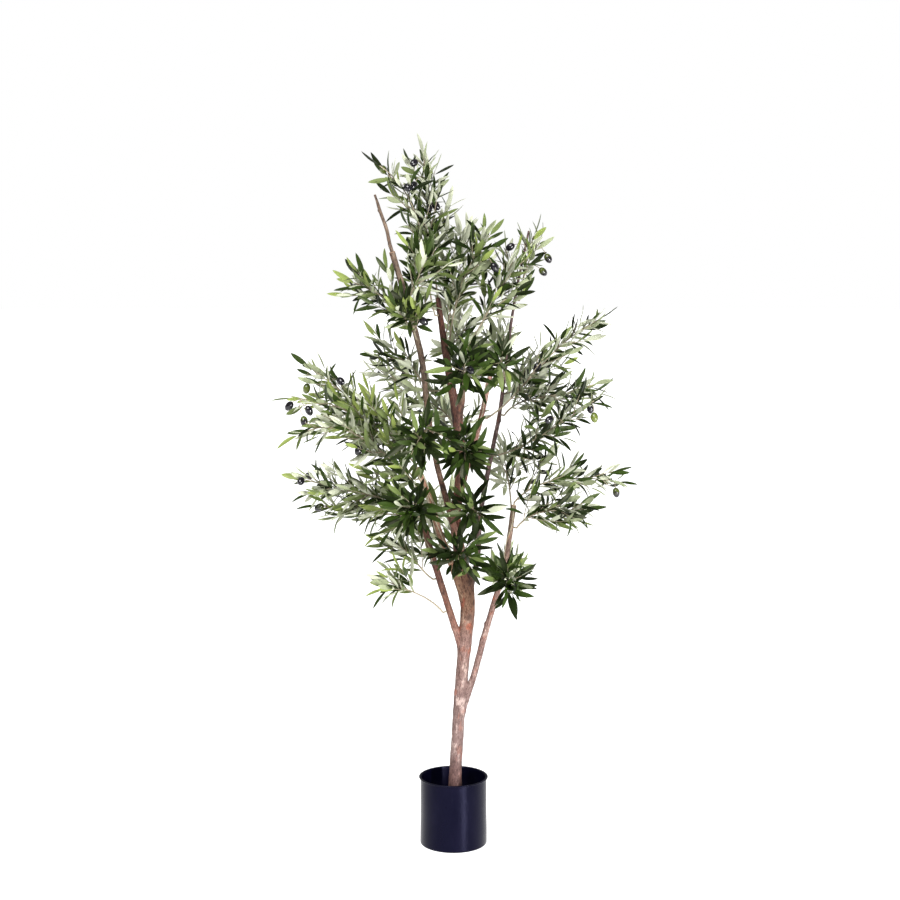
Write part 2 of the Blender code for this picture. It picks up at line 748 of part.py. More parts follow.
def new_olive_shape():
    """An olive of size one, its top at the origin and its foot along +Z."""
    shell = bmesh.new()
    bmesh.ops.create_icosphere(shell, subdivisions=1, radius=0.5)
    bmesh.ops.translate(shell, verts=shell.verts, vec=(0.0, 0.0, 0.5))
    shape = bpy.data.meshes.new("olive")
    shell.to_mesh(shape)
    shell.free()
    return shape


def grow_leaves(spray, wires, crown, leaf_shape):
    """A spray's leaves, without those that would leave its space or crowd a limb or a leaf."""
    rng = random.Random(f"{spray.name} leaves {SEED}")
    leaves = []
    taken = np.empty((0, 3))
    for number, rows in enumerate(wires):
        bare = spray.bare if number == 0 else TWIG_BARE
        for root, aim, face, size in leaf_frames(rows, bare, rng):
            points = leaf_points(root, aim, face, size)
            blade = points[np.linalg.norm(points - root, axis=1) > LEAF_HEEL * LEAF_LENGTH]
            if nearest(blade, taken).min() < LEAF_MARGIN or not crown.has_room(spray.name, points):
                continue
            taken = np.vstack([taken, blade])
            leaf = bpy.data.objects.new(f"{spray.name} leaf", leaf_shape)
            sizes = (size * LEAF_WIDTH, LEAF_THICKNESS, size * LEAF_LENGTH)
            origin = root - ROOT_DEPTH * aim
            leaf.matrix_world = frame_matrix(origin, np.cross(face, aim), face, aim, sizes)
            leaves.append(leaf)
    return leaves


def hang_olives(spray, stem, crown, olive_shape):
    """A spray's olives, each hung under its stem."""
    olives = []
    for fraction in spray.fruit:
        row, along = at_fraction(stem, fraction)
        down = unit(np.array([0.0, 0.0, -1.0]) + OLIVE_SWING * along)
        across = unit(np.cross(along, down))
        origin = row[:3] - OLIVE_DEPTH * down
        middle = origin + 0.5 * OLIVE_LENGTH * down
        half_width = 0.5 * OLIVE_WIDTH * across
        points = np.array([middle, middle + half_width, middle - half_width, origin + OLIVE_LENGTH * down])
        if not crown.has_room(spray.name, points):
            continue
        olive = bpy.data.objects.new(f"{spray.name} olive", olive_shape)
        sizes = (OLIVE_WIDTH, OLIVE_WIDTH, OLIVE_LENGTH)
        olive.matrix_world = frame_matrix(origin, across, np.cross(down, across), down, sizes)
        olives.append(olive)
    return olives


def build_sprays(collection, guides, limbs, solids):
    """Every spray: all stems first, then the twigs, then the leaves in the space that is left."""
    crown = Crown(limbs)
    surfaces = {spray.limb: surface_of(solids[spray.limb]) for spray in SPRAYS}
    stems = {}
    for spray in SPRAYS:
        stems[spray.name] = seated_stem(spray, limbs[spray.limb], surfaces[spray.limb])
        crown.add_wire(spray.name, stems[spray.name])
    twigs = {spray.name: grow_twigs(spray, stems[spray.name], crown) for spray in SPRAYS}
    profile = new_profile(guides)
    leaf_shape = new_leaf_shape()
    olive_shape = new_olive_shape()
    green = new_finish("leaf green", LEAF_GREEN, 0.55)
    for spray in SPRAYS:
        stem = stems[spray.name]
        core = as_solid(new_curve(spray.name, stem, collection, profile=profile), collection)
        pieces = [
            as_solid(new_curve(f"{spray.name} twig", rows, guides, profile=profile), guides)
            for rows in twigs[spray.name]
        ]
        pieces += grow_leaves(spray, [stem, *twigs[spray.name]], crown, leaf_shape)
        pieces += hang_olives(spray, stem, crown, olive_shape)
        fuse(core, pieces)
        core.data.materials.clear()
        core.data.materials.append(green)
    bpy.data.objects.remove(profile)


def main():
    """Build the whole tree."""
    clear_scene()
    tree = new_collection("potted olive tree")
    guides = new_collection("guides")
    build_pot(tree)
    build_fill(tree)
    limbs, solids = build_limbs(tree, guides)
    build_sprays(tree, guides, limbs, solids)


if __name__ == "__main__":
    main()
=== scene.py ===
"""The looks of an artificial olive tree in a pot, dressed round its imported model.

Metres, +Z up. The pot stands on z = 0 and the viewer is toward -Y. The bark, the pot and the
fill are surfaces worked out on grids. The sprays grow again from the limbs by the model's own
rule, with finer twigs and with leaves and olives of life size.
"""

import json
import logging
import math
from dataclasses import dataclass, fields
from enum import Enum

import bpy
import numpy as np
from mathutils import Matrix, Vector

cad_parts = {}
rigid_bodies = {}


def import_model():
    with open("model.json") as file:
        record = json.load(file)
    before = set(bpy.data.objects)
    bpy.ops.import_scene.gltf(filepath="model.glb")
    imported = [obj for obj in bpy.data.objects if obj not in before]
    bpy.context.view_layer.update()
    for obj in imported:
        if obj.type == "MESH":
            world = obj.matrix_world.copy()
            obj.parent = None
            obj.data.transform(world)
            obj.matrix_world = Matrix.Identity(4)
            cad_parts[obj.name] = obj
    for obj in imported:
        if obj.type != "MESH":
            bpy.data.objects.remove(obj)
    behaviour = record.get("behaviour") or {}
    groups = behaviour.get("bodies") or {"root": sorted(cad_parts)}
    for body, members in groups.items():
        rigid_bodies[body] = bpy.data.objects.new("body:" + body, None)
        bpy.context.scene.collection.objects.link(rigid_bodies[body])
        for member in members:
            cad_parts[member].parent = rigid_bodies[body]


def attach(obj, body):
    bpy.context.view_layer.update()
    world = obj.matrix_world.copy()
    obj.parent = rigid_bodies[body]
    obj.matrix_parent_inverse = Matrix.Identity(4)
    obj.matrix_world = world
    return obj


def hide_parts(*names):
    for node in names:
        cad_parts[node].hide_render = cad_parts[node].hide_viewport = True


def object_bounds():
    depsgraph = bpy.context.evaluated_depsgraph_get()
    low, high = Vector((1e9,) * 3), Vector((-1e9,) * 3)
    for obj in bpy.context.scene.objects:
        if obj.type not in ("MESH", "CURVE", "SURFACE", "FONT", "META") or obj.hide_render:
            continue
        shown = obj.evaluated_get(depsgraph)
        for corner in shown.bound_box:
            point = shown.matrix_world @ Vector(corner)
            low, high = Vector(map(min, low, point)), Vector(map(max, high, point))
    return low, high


Array = np.ndarray
Colour = tuple[float, float, float]
Socket = bpy.types.NodeSocket
Input = Socket | float | Colour

log = logging.getLogger("olive tree")

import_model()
CAD_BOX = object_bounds()

# Every random value starts from the seed. The fill and the bark add a number of their own.
SEED = 1
FILL_DRAWS = 11
BARK_DRAWS = 20
UP = np.array([0.0, 0.0, 1.0])
BACK = np.array([0.0, 1.0, 0.0])
# A direction whose Z part is over this counts as upright.
STEEP = 0.94


class Region(Enum):
    """The part of the crown that a spray belongs to."""

    TOP = "top"
    RIGHT = "right"
    LEFT = "left"
    FRONT = "front"
    REAR = "rear"


class Ripeness(Enum):
    """How ripe an olive is, by its place in the olives' list of finishes."""

    GREEN = 0
    TURNING = 1
    RIPE = 2


class Tint(Enum):
    """A leaf's upper finish, by its place in the leaves' list of finishes."""

    DEEP = 0
    DARK = 1
    FRESH = 2
    YOUNG = 3


class Underside(Enum):
    """A leaf's lower finish, by its place in the leaves' list of finishes."""

    SILVER = 4
    SAGE = 5


def seen(red: int, green: int, blue: int) -> Colour:
    """The linear colour of an sRGB colour given in 0 to 255."""
    shares = [value / 255 for value in (red, green, blue)]
    return tuple(c / 12.92 if c <= 0.04045 else ((c + 0.055) / 1.055) ** 2.4 for c in shares)


def unit(vectors: Array) -> Array:
    """The vectors, along the last axis, at length one."""
    return vectors / np.linalg.norm(vectors, axis=-1, keepdims=True)


def heading(bearing: float, rise: float) -> Array:
    """The unit vector at a bearing from +X toward +Y and a rise above level, in degrees."""
    turn, lift = math.radians(bearing), math.radians(rise)
    return np.array([math.cos(lift) * math.cos(turn), math.cos(lift) * math.sin(turn), math.sin(lift)])


def square_axes(along: Array, reference: Array) -> tuple[Array, Array]:
    """Two unit axes square to each direction, the first as near to the reference as can be.

    Args:
        along: Unit directions, (..., 3).
        reference: One vector, or one for each direction.

    Returns:
        The reference less its part along the direction, and the direction crossed with that.
    """
    side = unit(reference - (along * reference).sum(axis=-1, keepdims=True) * along)
    return side, np.cross(along, side)


def level_axes(along: Array) -> tuple[Array, Array]:
    """Two unit axes square to each direction, the first level where the direction isn't upright.

    Args:
        along: Unit directions, (..., 3).

    Returns:
        Up crossed with the direction, or back where it is upright, and the axis square to both.
    """
    steep = np.abs(along[..., 2:]) > STEEP
    level = unit(np.cross(np.where(steep, BACK, UP), along))
    return level, np.cross(along, level)


def swung(axes: tuple[Array, Array], angle: Array) -> Array:
    """The directions at angles, in radians, from the first of two square axes toward the second."""
    first, second = axes
    return np.cos(angle)[..., None] * first + np.sin(angle)[..., None] * second


def ring_angles(sides: int) -> Array:
    """The angles of a ring's sides, evenly round the turn."""
    return np.linspace(0.0, math.tau, sides, endpoint=False)


def nearest(points: Array, targets: Array) -> Array:
    """The distance from each point to the nearest target."""
    return np.linalg.norm(points[:, None] - targets, axis=2).min(axis=1)


def skin_gap(points: Array, rows: Array) -> Array:
    """How far each point is outside the nearest of many balls, given as rows (x, y, z, radius)."""
    return (np.linalg.norm(points[:, None] - rows[:, :3], axis=2) - rows[:, 3]).min(axis=1)


@dataclass(frozen=True)
class Path:
    """A path of rows (x, y, z, radius)."""

    rows: Array

    @property
    def marks(self) -> Array:
        """The distance of each row from the start."""
        steps = np.linalg.norm(np.diff(self.rows[:, :3], axis=0), axis=1)
        return np.concatenate([[0.0], np.cumsum(steps)])

    @property
    def length(self) -> float:
        """The path's length."""
        return float(self.marks[-1])

    def at(self, fractions: Array | float) -> tuple[Array, Array]:
        """The rows and the directions at fractions of the path's length.

        Args:
            fractions: Shares of the length, from 0 to 1, or one such share.

        Returns:
            Rows (n, 4), each column read linearly along the path, and unit directions (n, 3).
        """
        marks = self.marks
        distances = np.atleast_1d(fractions) * marks[-1]
        rows = np.stack([np.interp(distances, marks, column) for column in self.rows.T], axis=-1)
        slopes = np.gradient(self.rows[:, :3], axis=0)
        along = np.stack([np.interp(distances, marks, column) for column in slopes.T], axis=-1)
        return rows, unit(along)

    def evenly(self, spacing: float) -> "Path":
        """The same path with its rows spaced evenly."""
        count = max(2, int(self.length / spacing) + 1)
        return Path(self.at(np.linspace(0.0, 1.0, count))[0])


def smooth_path(guides: Array, steps: int) -> Path:
    """The smooth curve through the guide rows.

    Each stretch is a cubic whose slope at a guide is half the difference of the guides on
    either side of it.

    Args:
        guides: Rows (x, y, z, radius).
        steps: How many rows each stretch gets.

    Returns:
        The path.
    """
    guides = np.asarray(guides, dtype=float)
    padded = np.vstack([2 * guides[0] - guides[1], guides, 2 * guides[-1] - guides[-2]])[:, None]
    before, start, end, after = padded[:-3], padded[1:-2], padded[2:-1], padded[3:]
    t = (np.arange(steps) / steps)[None, :, None]
    bend = 2 * before - 5 * start + 4 * end - after
    twist = 3 * start - before - 3 * end + after
    rows = start + 0.5 * ((end - before) * t + bend * t**2 + twist * t**3)
    return Path(np.vstack([rows.reshape(-1, 4), guides[-1:]]))


@dataclass
class Surface:
    """Points with the quads and triangles between them, and values kept at the points.

    Attributes:
        points: Places, (n, 3).
        quads: Corners of the four-sided faces, (q, 4).
        triangles: Corners of the three-sided faces, (t, 3).
        slots: The finish of each face, quads first.
        values: Named values at the points, each (n,) or (n, 3).
    """

    points: Array
    quads: Array
    triangles: Array
    slots: Array
    values: dict[str, Array]

    @classmethod
    def joined(cls, parts: list["Surface"]) -> "Surface":
        """One surface of several, which keep their own points.

        Args:
            parts: The surfaces, with the same named values.

        Returns:
            The whole, with its points, quads and triangles in the order of the parts.
        """
        starts = np.cumsum([0] + [len(part.points) for part in parts[:-1]])
        quad_slots = [part.slots[: len(part.quads)] for part in parts]
        triangle_slots = [part.slots[len(part.quads) :] for part in parts]
        names = parts[0].values
        return cls(
            np.vstack([part.points for part in parts]),
            np.vstack([part.quads + start for part, start in zip(parts, starts)]),
            np.vstack([part.triangles + start for part, start in zip(parts, starts)]),
            np.concatenate(quad_slots + triangle_slots),
            {name: np.concatenate([part.values[name] for part in parts]) for name in names},
        )

    def flipped(self) -> "Surface":
        """The same surface with its faces turned round."""
        triangles = self.triangles[:, [0, 2, 1]]
        return Surface(self.points, self.quads[:, ::-1], triangles, self.slots, self.values)

    def as_object(self, name: str, materials: list, sharp: float = 180.0) -> bpy.types.Object:
        """The surface as a smooth-shaded object at the origin.

        Args:
            name: The object's name.
            materials: Its material slots.
            sharp: Edges bent by more than this many degrees are shaded sharp.

        Returns:
            The new object.
        """
        mesh = bpy.data.meshes.new(name)
        mesh.vertices.add(len(self.points))
        mesh.vertices.foreach_set("co", self.points.astype(np.float32).ravel())
        mesh.loops.add(4 * len(self.quads) + 3 * len(self.triangles))
        corners = np.concatenate([self.quads.ravel(), self.triangles.ravel()]).astype(np.int32)
        mesh.loops.foreach_set("vertex_index", corners)
        sizes = np.repeat([4, 3], [len(self.quads), len(self.triangles)])
        mesh.polygons.add(len(sizes))
        starts = (np.cumsum(sizes) - sizes).astype(np.int32)
        mesh.polygons.foreach_set("loop_start", starts)
        mesh.polygons.foreach_set("material_index", self.slots.astype(np.int32))
        mesh.update(calc_edges=True)
        for key, value in self.values.items():
            kind, field = ("FLOAT_VECTOR", "vector") if value.ndim == 2 else ("FLOAT", "value")
            made = mesh.attributes.new(key, kind, "POINT")
            made.data.foreach_set(field, value.astype(np.float32).ravel())
        mesh.shade_smooth()
        if sharp < 180.0:
            mesh.set_sharp_from_angle(angle=math.radians(sharp))
        for material in materials:
            mesh.materials.append(material)
        made = bpy.data.objects.new(name, mesh)
        bpy.context.scene.collection.objects.link(made)
        return made


def ring_quads(tubes: int, rings: int, sides: int) -> Array:
    """The quads of tubes whose points are numbered by tube, then ring, then side.

    A face joins side k and side k + 1 of one ring to the same sides of the next ring, in the
    order that points it outward where the sides run anticlockwise round the path.

    Args:
        tubes: How many tubes there are.
        rings: How many rings a tube has.
        sides: How many points a ring has.

    Returns:
        The corners, (quads, 4).
    """
    tube, ring, side = np.meshgrid(np.arange(tubes), np.arange(rings - 1), np.arange(sides), indexing="ij")
    start = (tube * rings + ring) * sides
    here, turn = start + side, start + (side + 1) % sides
    return np.stack([here, turn, turn + sides, here + sides], axis=-1).reshape(-1, 4)


def closed_tubes(grid: Array, ends: Array, slots: Array | int = 0, values: dict | None = None) -> Surface:
    """Tubes with quads between their rings, and a fan over each end.

    Args:
        grid: The points, (tubes, rings, sides, 3), with the sides anticlockwise round the path.
        ends: The middle points of the first and the last fan, (tubes, 2, 3).
        slots: The finish of all the tubes, or one to a tube.
        values: Named values at the points of the grid and then of the ends.

    Returns:
        The closed surface.
    """
    tubes, rings, sides = grid.shape[:3]
    tube, side = np.meshgrid(np.arange(tubes), np.arange(sides), indexing="ij")
    after = (side + 1) % sides
    foot = tube * rings * sides
    tip = foot + (rings - 1) * sides
    middle = tubes * rings * sides + 2 * tube
    lower = np.stack([middle, foot + after, foot + side], axis=-1)
    upper = np.stack([middle + 1, tip + side, tip + after], axis=-1)
    each = np.broadcast_to(slots, tubes)
    return Surface(
        np.vstack([grid.reshape(-1, 3), ends.reshape(-1, 3)]),
        ring_quads(tubes, rings, sides),
        np.concatenate([lower.reshape(-1, 3), upper.reshape(-1, 3)]),
        np.concatenate([np.repeat(each, (rings - 1) * sides), np.tile(np.repeat(each, sides), 2)]),
        values or {},
    )


def tube_surface(rows: Array, sides: int) -> Surface:
    """Round tubes along many paths at once, closed by a point at each end.

    A point is the path's place, plus its radius times the cosine of the side's angle on one
    axis square to the path, plus its radius times the sine on the other.

    Args:
        rows: (x, y, z, radius) for each tube and ring, (tubes, rings, 4).
        sides: How many sides a tube has.

    Returns:
        The surface of all the tubes.
    """
    places, radii = rows[..., :3], rows[..., 3:]
    along = unit(np.gradient(places, axis=1))
    first, second = level_axes(along)
    spokes = swung((first[:, :, None], second[:, :, None]), ring_angles(sides))
    before = places[:, 0] - radii[:, 0] * along[:, 0]
    beyond = places[:, -1] + radii[:, -1] * along[:, -1]
    return closed_tubes(places[:, :, None] + radii[:, :, None] * spokes, np.stack([before, beyond], axis=1))


def turned_surface(profile: Array, steps: int) -> Surface:
    """A profile turned round the Z axis, with both its ends on the axis.

    A point is (radius times the cosine of the turn, radius times its sine, height).

    Args:
        profile: (radius, height), from the axis on the upper or inner side, over the rim, down
            the outer side and back to the axis underneath.
        steps: How many steps the turn takes.

    Returns:
        The surface, closed at both poles. Its "around" value is (turn in radians, radius, height).
    """
    turn = ring_angles(steps)
    radius, height = profile[1:-1, :1], profile[1:-1, 1:]
    grid = np.stack(np.broadcast_arrays(radius * np.cos(turn), radius * np.sin(turn), height), axis=-1)
    around = np.stack(np.broadcast_arrays(turn, radius, height), axis=-1)
    poles = np.array([[0.0, 0.0, profile[0, 1]], [0.0, 0.0, profile[-1, 1]]])
    values = {"around": np.vstack([around.reshape(-1, 3), poles])}
    return closed_tubes(grid[None], poles[None], values=values).flipped()


def lattice_noise(along: Array, around: Array, step: float, lobes: int, rng: np.random.Generator) -> Array:
    """Smooth noise from -1 to 1 on a tube, with no seam.

    Random values stand on a lattice, one step apart along the tube and `lobes` to the turn.
    Between them the value eases from one to the next by the cubic 3 t squared less 2 t cubed.

    Args:
        along: Distance along the tube, broadcast with `around`.
        around: Turn, from 0 to 1.
        step: The distance between two rows of the lattice.
        lobes: Lattice steps to the turn.
        rng: The source of the values.

    Returns:
        The noise, of the broadcast shape.
    """
    rise, turn = along / step, around * lobes
    lattice = rng.uniform(-1.0, 1.0, (int(rise.max()) + 2, lobes))
    row, column = np.floor(rise).astype(int), np.floor(turn).astype(int)
    up, across = rise - row, turn - column
    up, across = up * up * (3 - 2 * up), across * across * (3 - 2 * across)
    here, after = column % lobes, (column + 1) % lobes
    low = lattice[row, here] * (1 - across) + lattice[row, after] * across
    high = lattice[row + 1, here] * (1 - across) + lattice[row + 1, after] * across
    return low * (1 - up) + high * up


def arc(centre: tuple[float, float], radius: float, start: float, end: float, count: int) -> Array:
    """Points (radius, height) along an arc, from one angle to another, in degrees."""
    angle = np.radians(np.linspace(start, end, count))
    return np.column_stack([centre[0] + radius * np.cos(angle), centre[1] + radius * np.sin(angle)])


class Graph:
    """A material's nodes, with short calls that add and link them."""

    def __init__(self, name: str) -> None:
        """Make the material with its Principled shader.

        Args:
            name: The material's name.
        """
        self.material = bpy.data.materials.new(name)
        self.material.use_nodes = True
        self.nodes = self.material.node_tree.nodes
        self.links = self.material.node_tree.links
        self.shader = self.nodes["Principled BSDF"]

    def put(self, node: bpy.types.Node, values: dict) -> bpy.types.Node:
        """Set or link a node's inputs.

        Args:
            node: The node.
            values: Input name or number to a value or another node's output.

        Returns:
            The same node.
        """
        for key, value in values.items():
            if isinstance(value, bpy.types.NodeSocket):
                self.links.new(value, node.inputs[key])
            elif isinstance(value, tuple) and node.inputs[key].type == "RGBA":
                node.inputs[key].default_value = (*value[:3], 1.0)
            else:
                node.inputs[key].default_value = value
        return node

    def attribute(self, name: str, output: str = "Fac") -> Socket:
        """A value kept at the mesh's points: its "Fac", or its "Vector"."""
        node = self.nodes.new("ShaderNodeAttribute")
        node.attribute_name = name
        return node.outputs[output]

    def noise(
        self, scale: float | tuple, detail: float = 3.0, shift: float = 0.0, at: Socket | None = None
    ) -> Socket:
        """Noise from 0 to 1.

        Args:
            scale: Features to the metre, one number or one for each axis.
            detail: How many finer layers are added.
            shift: A distance that moves the pattern.
            at: Where it is read, in metres. If none, it is the object's own coordinates.

        Returns:
            The noise's value.
        """
        if at is None:
            at = self.nodes.new("ShaderNodeTexCoord").outputs["Object"]
        scales = scale if isinstance(scale, tuple) else (scale, scale, scale)
        stretch = self.nodes.new("ShaderNodeVectorMath")
        stretch.operation = "MULTIPLY_ADD"
        self.put(stretch, {0: at, 1: scales, 2: (shift, shift, shift)})
        noise = self.nodes.new("ShaderNodeTexNoise")
        self.put(noise, {"Vector": stretch.outputs[0], "Scale": 1.0, "Detail": detail, "Roughness": 0.6})
        return noise.outputs["Fac"]

    def ramp(self, value: Socket, stops: list[tuple[float, Colour]]) -> Socket:
        """A colour ramp over a value.

        Args:
            value: The value, from 0 to 1.
            stops: (place, colour), in rising order of the places.

        Returns:
            The colour.
        """
        node = self.nodes.new("ShaderNodeValToRGB")
        elements = node.color_ramp.elements
        while len(elements) < len(stops):
            elements.new(1.0)
        for element, (place, colour) in zip(elements, stops):
            element.position = place
            element.color = (*colour, 1.0)
        return self.put(node, {"Fac": value}).outputs["Color"]

    def span(self, value: Socket, low: float, high: float, start: float = 0.0, end: float = 1.0) -> Socket:
        """The value's range from `low` to `high` carried to `start` to `end`, and held there."""
        node = self.nodes.new("ShaderNodeMapRange")
        limits = {"From Min": low, "From Max": high, "To Min": start, "To Max": end}
        return self.put(node, {"Value": value, **limits}).outputs["Result"]

    def mix(self, share: Input, first: Input, second: Input) -> Socket:
        """A blend of two colours: the share is the second one's."""
        node = self.nodes.new("ShaderNodeMix")
        node.data_type = "RGBA"
        return self.put(node, {0: share, 6: first, 7: second}).outputs[2]

    def worked(self, operation: str, first: Input, second: Input) -> Socket:
        """What a Math node's operation makes of two values."""
        node = self.nodes.new("ShaderNodeMath")
        node.operation = operation
        return self.put(node, {0: first, 1: second}).outputs[0]

    def times(self, first: Input, second: Input) -> Socket:
        """The product of two values."""
        return self.worked("MULTIPLY", first, second)

    def plus(self, first: Input, second: Input) -> Socket:
        """The sum of two values."""
        return self.worked("ADD", first, second)

    def finished(self, values: dict, height: Socket, depth: float) -> bpy.types.Material:
        """Set the shader's inputs and its relief.

        Args:
            values: The shader's inputs, as `put` takes them.
            height: The surface's height, from 0 to 1.
            depth: The distance that this height stands for.

        Returns:
            The material.
        """
        bump = self.nodes.new("ShaderNodeBump")
        self.put(bump, {"Height": height, "Distance": depth, "Strength": 1.0})
        self.put(self.shader, {**values, "Normal": bump.outputs["Normal"]})
        return self.material


@dataclass(frozen=True)
class BarkTone:
    """The colours of one stretch of bark: its body, its pale and warm patches, its dark streaks."""

    body: Colour
    pale: Colour
    warm: Colour
    dark: Colour


@dataclass(frozen=True)
class BarkFinish:
    """Smooth, patchy bark, whose tones follow one another from the limb's foot to its tip.

    Attributes:
        name: The material's name.
        tones: The tones, from the foot to the tip.
        end_grain: The colour of a cut end.
        patches: Pale and dark patches to the metre, across the limb and along it.
        warm_patches: Warm patches to the metre.
        streaks: Dark streaks to the metre.
        flecks: Dark flecks to the metre.
        relief: The depth of the streaks and flecks.
    """

    name: str
    tones: tuple
    end_grain: Colour = seen(186, 158, 132)
    patches: tuple = (58.0, 58.0, 24.0)
    warm_patches: tuple = (46.0, 46.0, 22.0)
    streaks: tuple = (310.0, 310.0, 105.0)
    flecks: tuple = (820.0, 820.0, 300.0)
    relief: float = 0.0016

    def ground(self, g: Graph, grain: Socket) -> tuple[Socket, Socket]:
        """The bark's colour and its dark colour, as they pass from tone to tone along the limb.

        Args:
            g: The material's nodes.
            grain: The place on the bark.

        Returns:
            The two colours.
        """
        light = g.plus(g.noise(self.patches, 4.0, at=grain), g.times(g.attribute("pale"), 0.3))
        warmth = g.plus(g.noise(self.warm_patches, 3.0, 7.3, grain), g.times(g.attribute("warm"), 0.35))
        tone = g.attribute("tone")
        reach = 1.0 / (len(self.tones) - 1)
        colour, dark = None, None
        for step, own in enumerate(self.tones):
            stops = [(0.34, own.dark), (0.44, own.body), (0.55, own.body), (0.66, own.pale)]
            ground = g.mix(g.span(warmth, 0.56, 0.68, 0.0, 0.8), g.ramp(light, stops), own.warm)
            if step == 0:
                colour, dark = ground, own.dark
                continue
            share = g.span(tone, (step - 1) * reach, step * reach)
            colour, dark = g.mix(share, colour, ground), g.mix(share, dark, own.dark)
        return colour, dark

    def material(self) -> bpy.types.Material:
        """The material: patches and streaks that follow the limb, knots and pale cut ends.

        Returns:
            The material.
        """
        g = Graph(self.name)
        grain = g.attribute("grain", "Vector")
        streaks = g.noise(self.streaks, 4.0, 3.1, grain)
        flecks = g.noise(self.flecks, 2.0, at=grain)
        colour, dark = self.ground(g, grain)
        colour = g.mix(g.span(streaks, 0.52, 0.38, 0.0, 0.75), colour, dark)
        colour = g.mix(g.span(flecks, 0.5, 0.34, 0.0, 0.6), colour, dark)
        colour = g.mix(g.times(g.attribute("knot"), 0.85), colour, dark)
        rings = g.mix(g.span(streaks, 0.35, 0.65, 0.0, 0.5), self.end_grain, self.tones[0].warm)
        colour = g.mix(g.attribute("cut"), colour, rings)
        skin = {"Base Color": colour, "Roughness": g.span(streaks, 0.3, 0.7, 0.85, 0.6)}
        height = g.plus(g.times(streaks, 0.7), g.times(flecks, 0.3))
        return g.finished({**skin, "Specular IOR Level": 0.3}, height, self.relief)


@dataclass(frozen=True)
class LeafFinish:
    """One side of a coated cloth leaf: an even colour, so that each leaf keeps its own tint.

    Attributes:
        name: The material's name.
        colour: The colour.
        roughness: The coat's roughness.
        gloss: How strongly the coat reflects.
        weave: The depth of the cloth's weave.
        sheen: The colour of the reflections.
    """

    name: str
    colour: Colour
    roughness: float
    gloss: float
    weave: float
    sheen: Colour = seen(255, 252, 222)

    def material(self) -> bpy.types.Material:
        """The material, with the cloth's weave as a fine relief under the coat."""
        g = Graph(self.name)
        coat = {"Roughness": self.roughness, "Specular IOR Level": self.gloss, "Specular Tint": self.sheen}
        return g.finished({"Base Color": self.colour, **coat}, g.noise(1400.0, 2.0), self.weave)


@dataclass(frozen=True)
class WireFinish:
    """Plastic-wrapped wire, with a dull skin that varies along it."""

    name: str
    light: Colour
    dark: Colour

    def material(self) -> bpy.types.Material:
        """The material: its light and dark colours in soft patches, with a fine roughness.

        Returns:
            The material.
        """
        g = Graph(self.name)
        fine = g.noise(900.0, 2.0)
        colour = g.mix(g.span(g.noise(60.0), 0.35, 0.65), self.light, self.dark)
        skin = {"Base Color": colour, "Roughness": g.span(fine, 0.3, 0.7, 0.5, 0.75)}
        return g.finished(skin, fine, 0.0002)


@dataclass(frozen=True)
class OliveFinish:
    """An olive's skin: one colour at the stalk and one at the tip, under a thin bloom."""

    name: str
    stalk_end: Colour
    tip_end: Colour
    bloom: Colour
    roughness: float

    def material(self) -> bpy.types.Material:
        """The material, blushed along the olive by its own "blush" value.

        Returns:
            The material.
        """
        g = Graph(self.name)
        blotch = g.noise(130.0)
        blush = g.plus(g.attribute("blush"), g.span(blotch, 0.3, 0.7, -0.25, 0.25))
        colour = g.mix(g.span(blush, 0.2, 0.6), self.stalk_end, self.tip_end)
        colour = g.mix(g.span(blotch, 0.55, 0.8, 0.0, 0.35), colour, self.bloom)
        skin = {"Base Color": colour, "Roughness": self.roughness, "Coat Weight": 0.3, "Coat Roughness": 0.12}
        return g.finished(skin, g.noise(1100.0, 2.0), 0.0001)


@dataclass(frozen=True)
class PlasticFinish:
    """Satin plastic with faint dust, and the level grooves of a turned mould."""

    name: str
    colour: Colour
    dust: Colour

    def material(self) -> bpy.types.Material:
        """The material, whose gloss the grooves draw out and the dust dulls in clouds.

        Returns:
            The material.
        """
        g = Graph(self.name)
        cloud = g.noise((22.0, 22.0, 9.0), 4.0)
        scuffs = g.noise((90.0, 90.0, 700.0))
        grooves = g.noise((12.0, 12.0, 1300.0), 2.0)
        dusty = g.times(g.span(cloud, 0.45, 0.75), g.span(scuffs, 0.4, 0.7, 0.2, 0.5))
        skin = {
            "Base Color": g.mix(dusty, self.colour, self.dust),
            "Roughness": g.span(cloud, 0.3, 0.7, 0.26, 0.34),
            "Anisotropic": 0.85,
            "Anisotropic Rotation": 0.25,
            "Specular IOR Level": 0.12,
            "Specular Tint": seen(200, 200, 255),
        }
        return g.finished(skin, g.plus(g.times(grooves, 0.5), g.times(cloud, 0.5)), 0.0004)


@dataclass(frozen=True)
class CementFinish:
    """Rough, dark-stained cement with small stones and dust."""

    name: str
    ground: Colour
    stone: Colour
    stain: Colour

    def material(self) -> bpy.types.Material:
        """The material: stones by a fine noise, and stains over them by a coarse one.

        Returns:
            The material.
        """
        g = Graph(self.name)
        grit = g.noise(420.0)
        colour = g.mix(g.span(grit, 0.52, 0.62), self.ground, self.stone)
        colour = g.mix(g.span(g.noise(26.0, 4.0), 0.45, 0.65, 0.0, 0.7), colour, self.stain)
        skin = {"Base Color": colour, "Roughness": g.span(grit, 0.3, 0.7, 0.95, 0.8)}
        return g.finished(skin, grit, 0.0015)


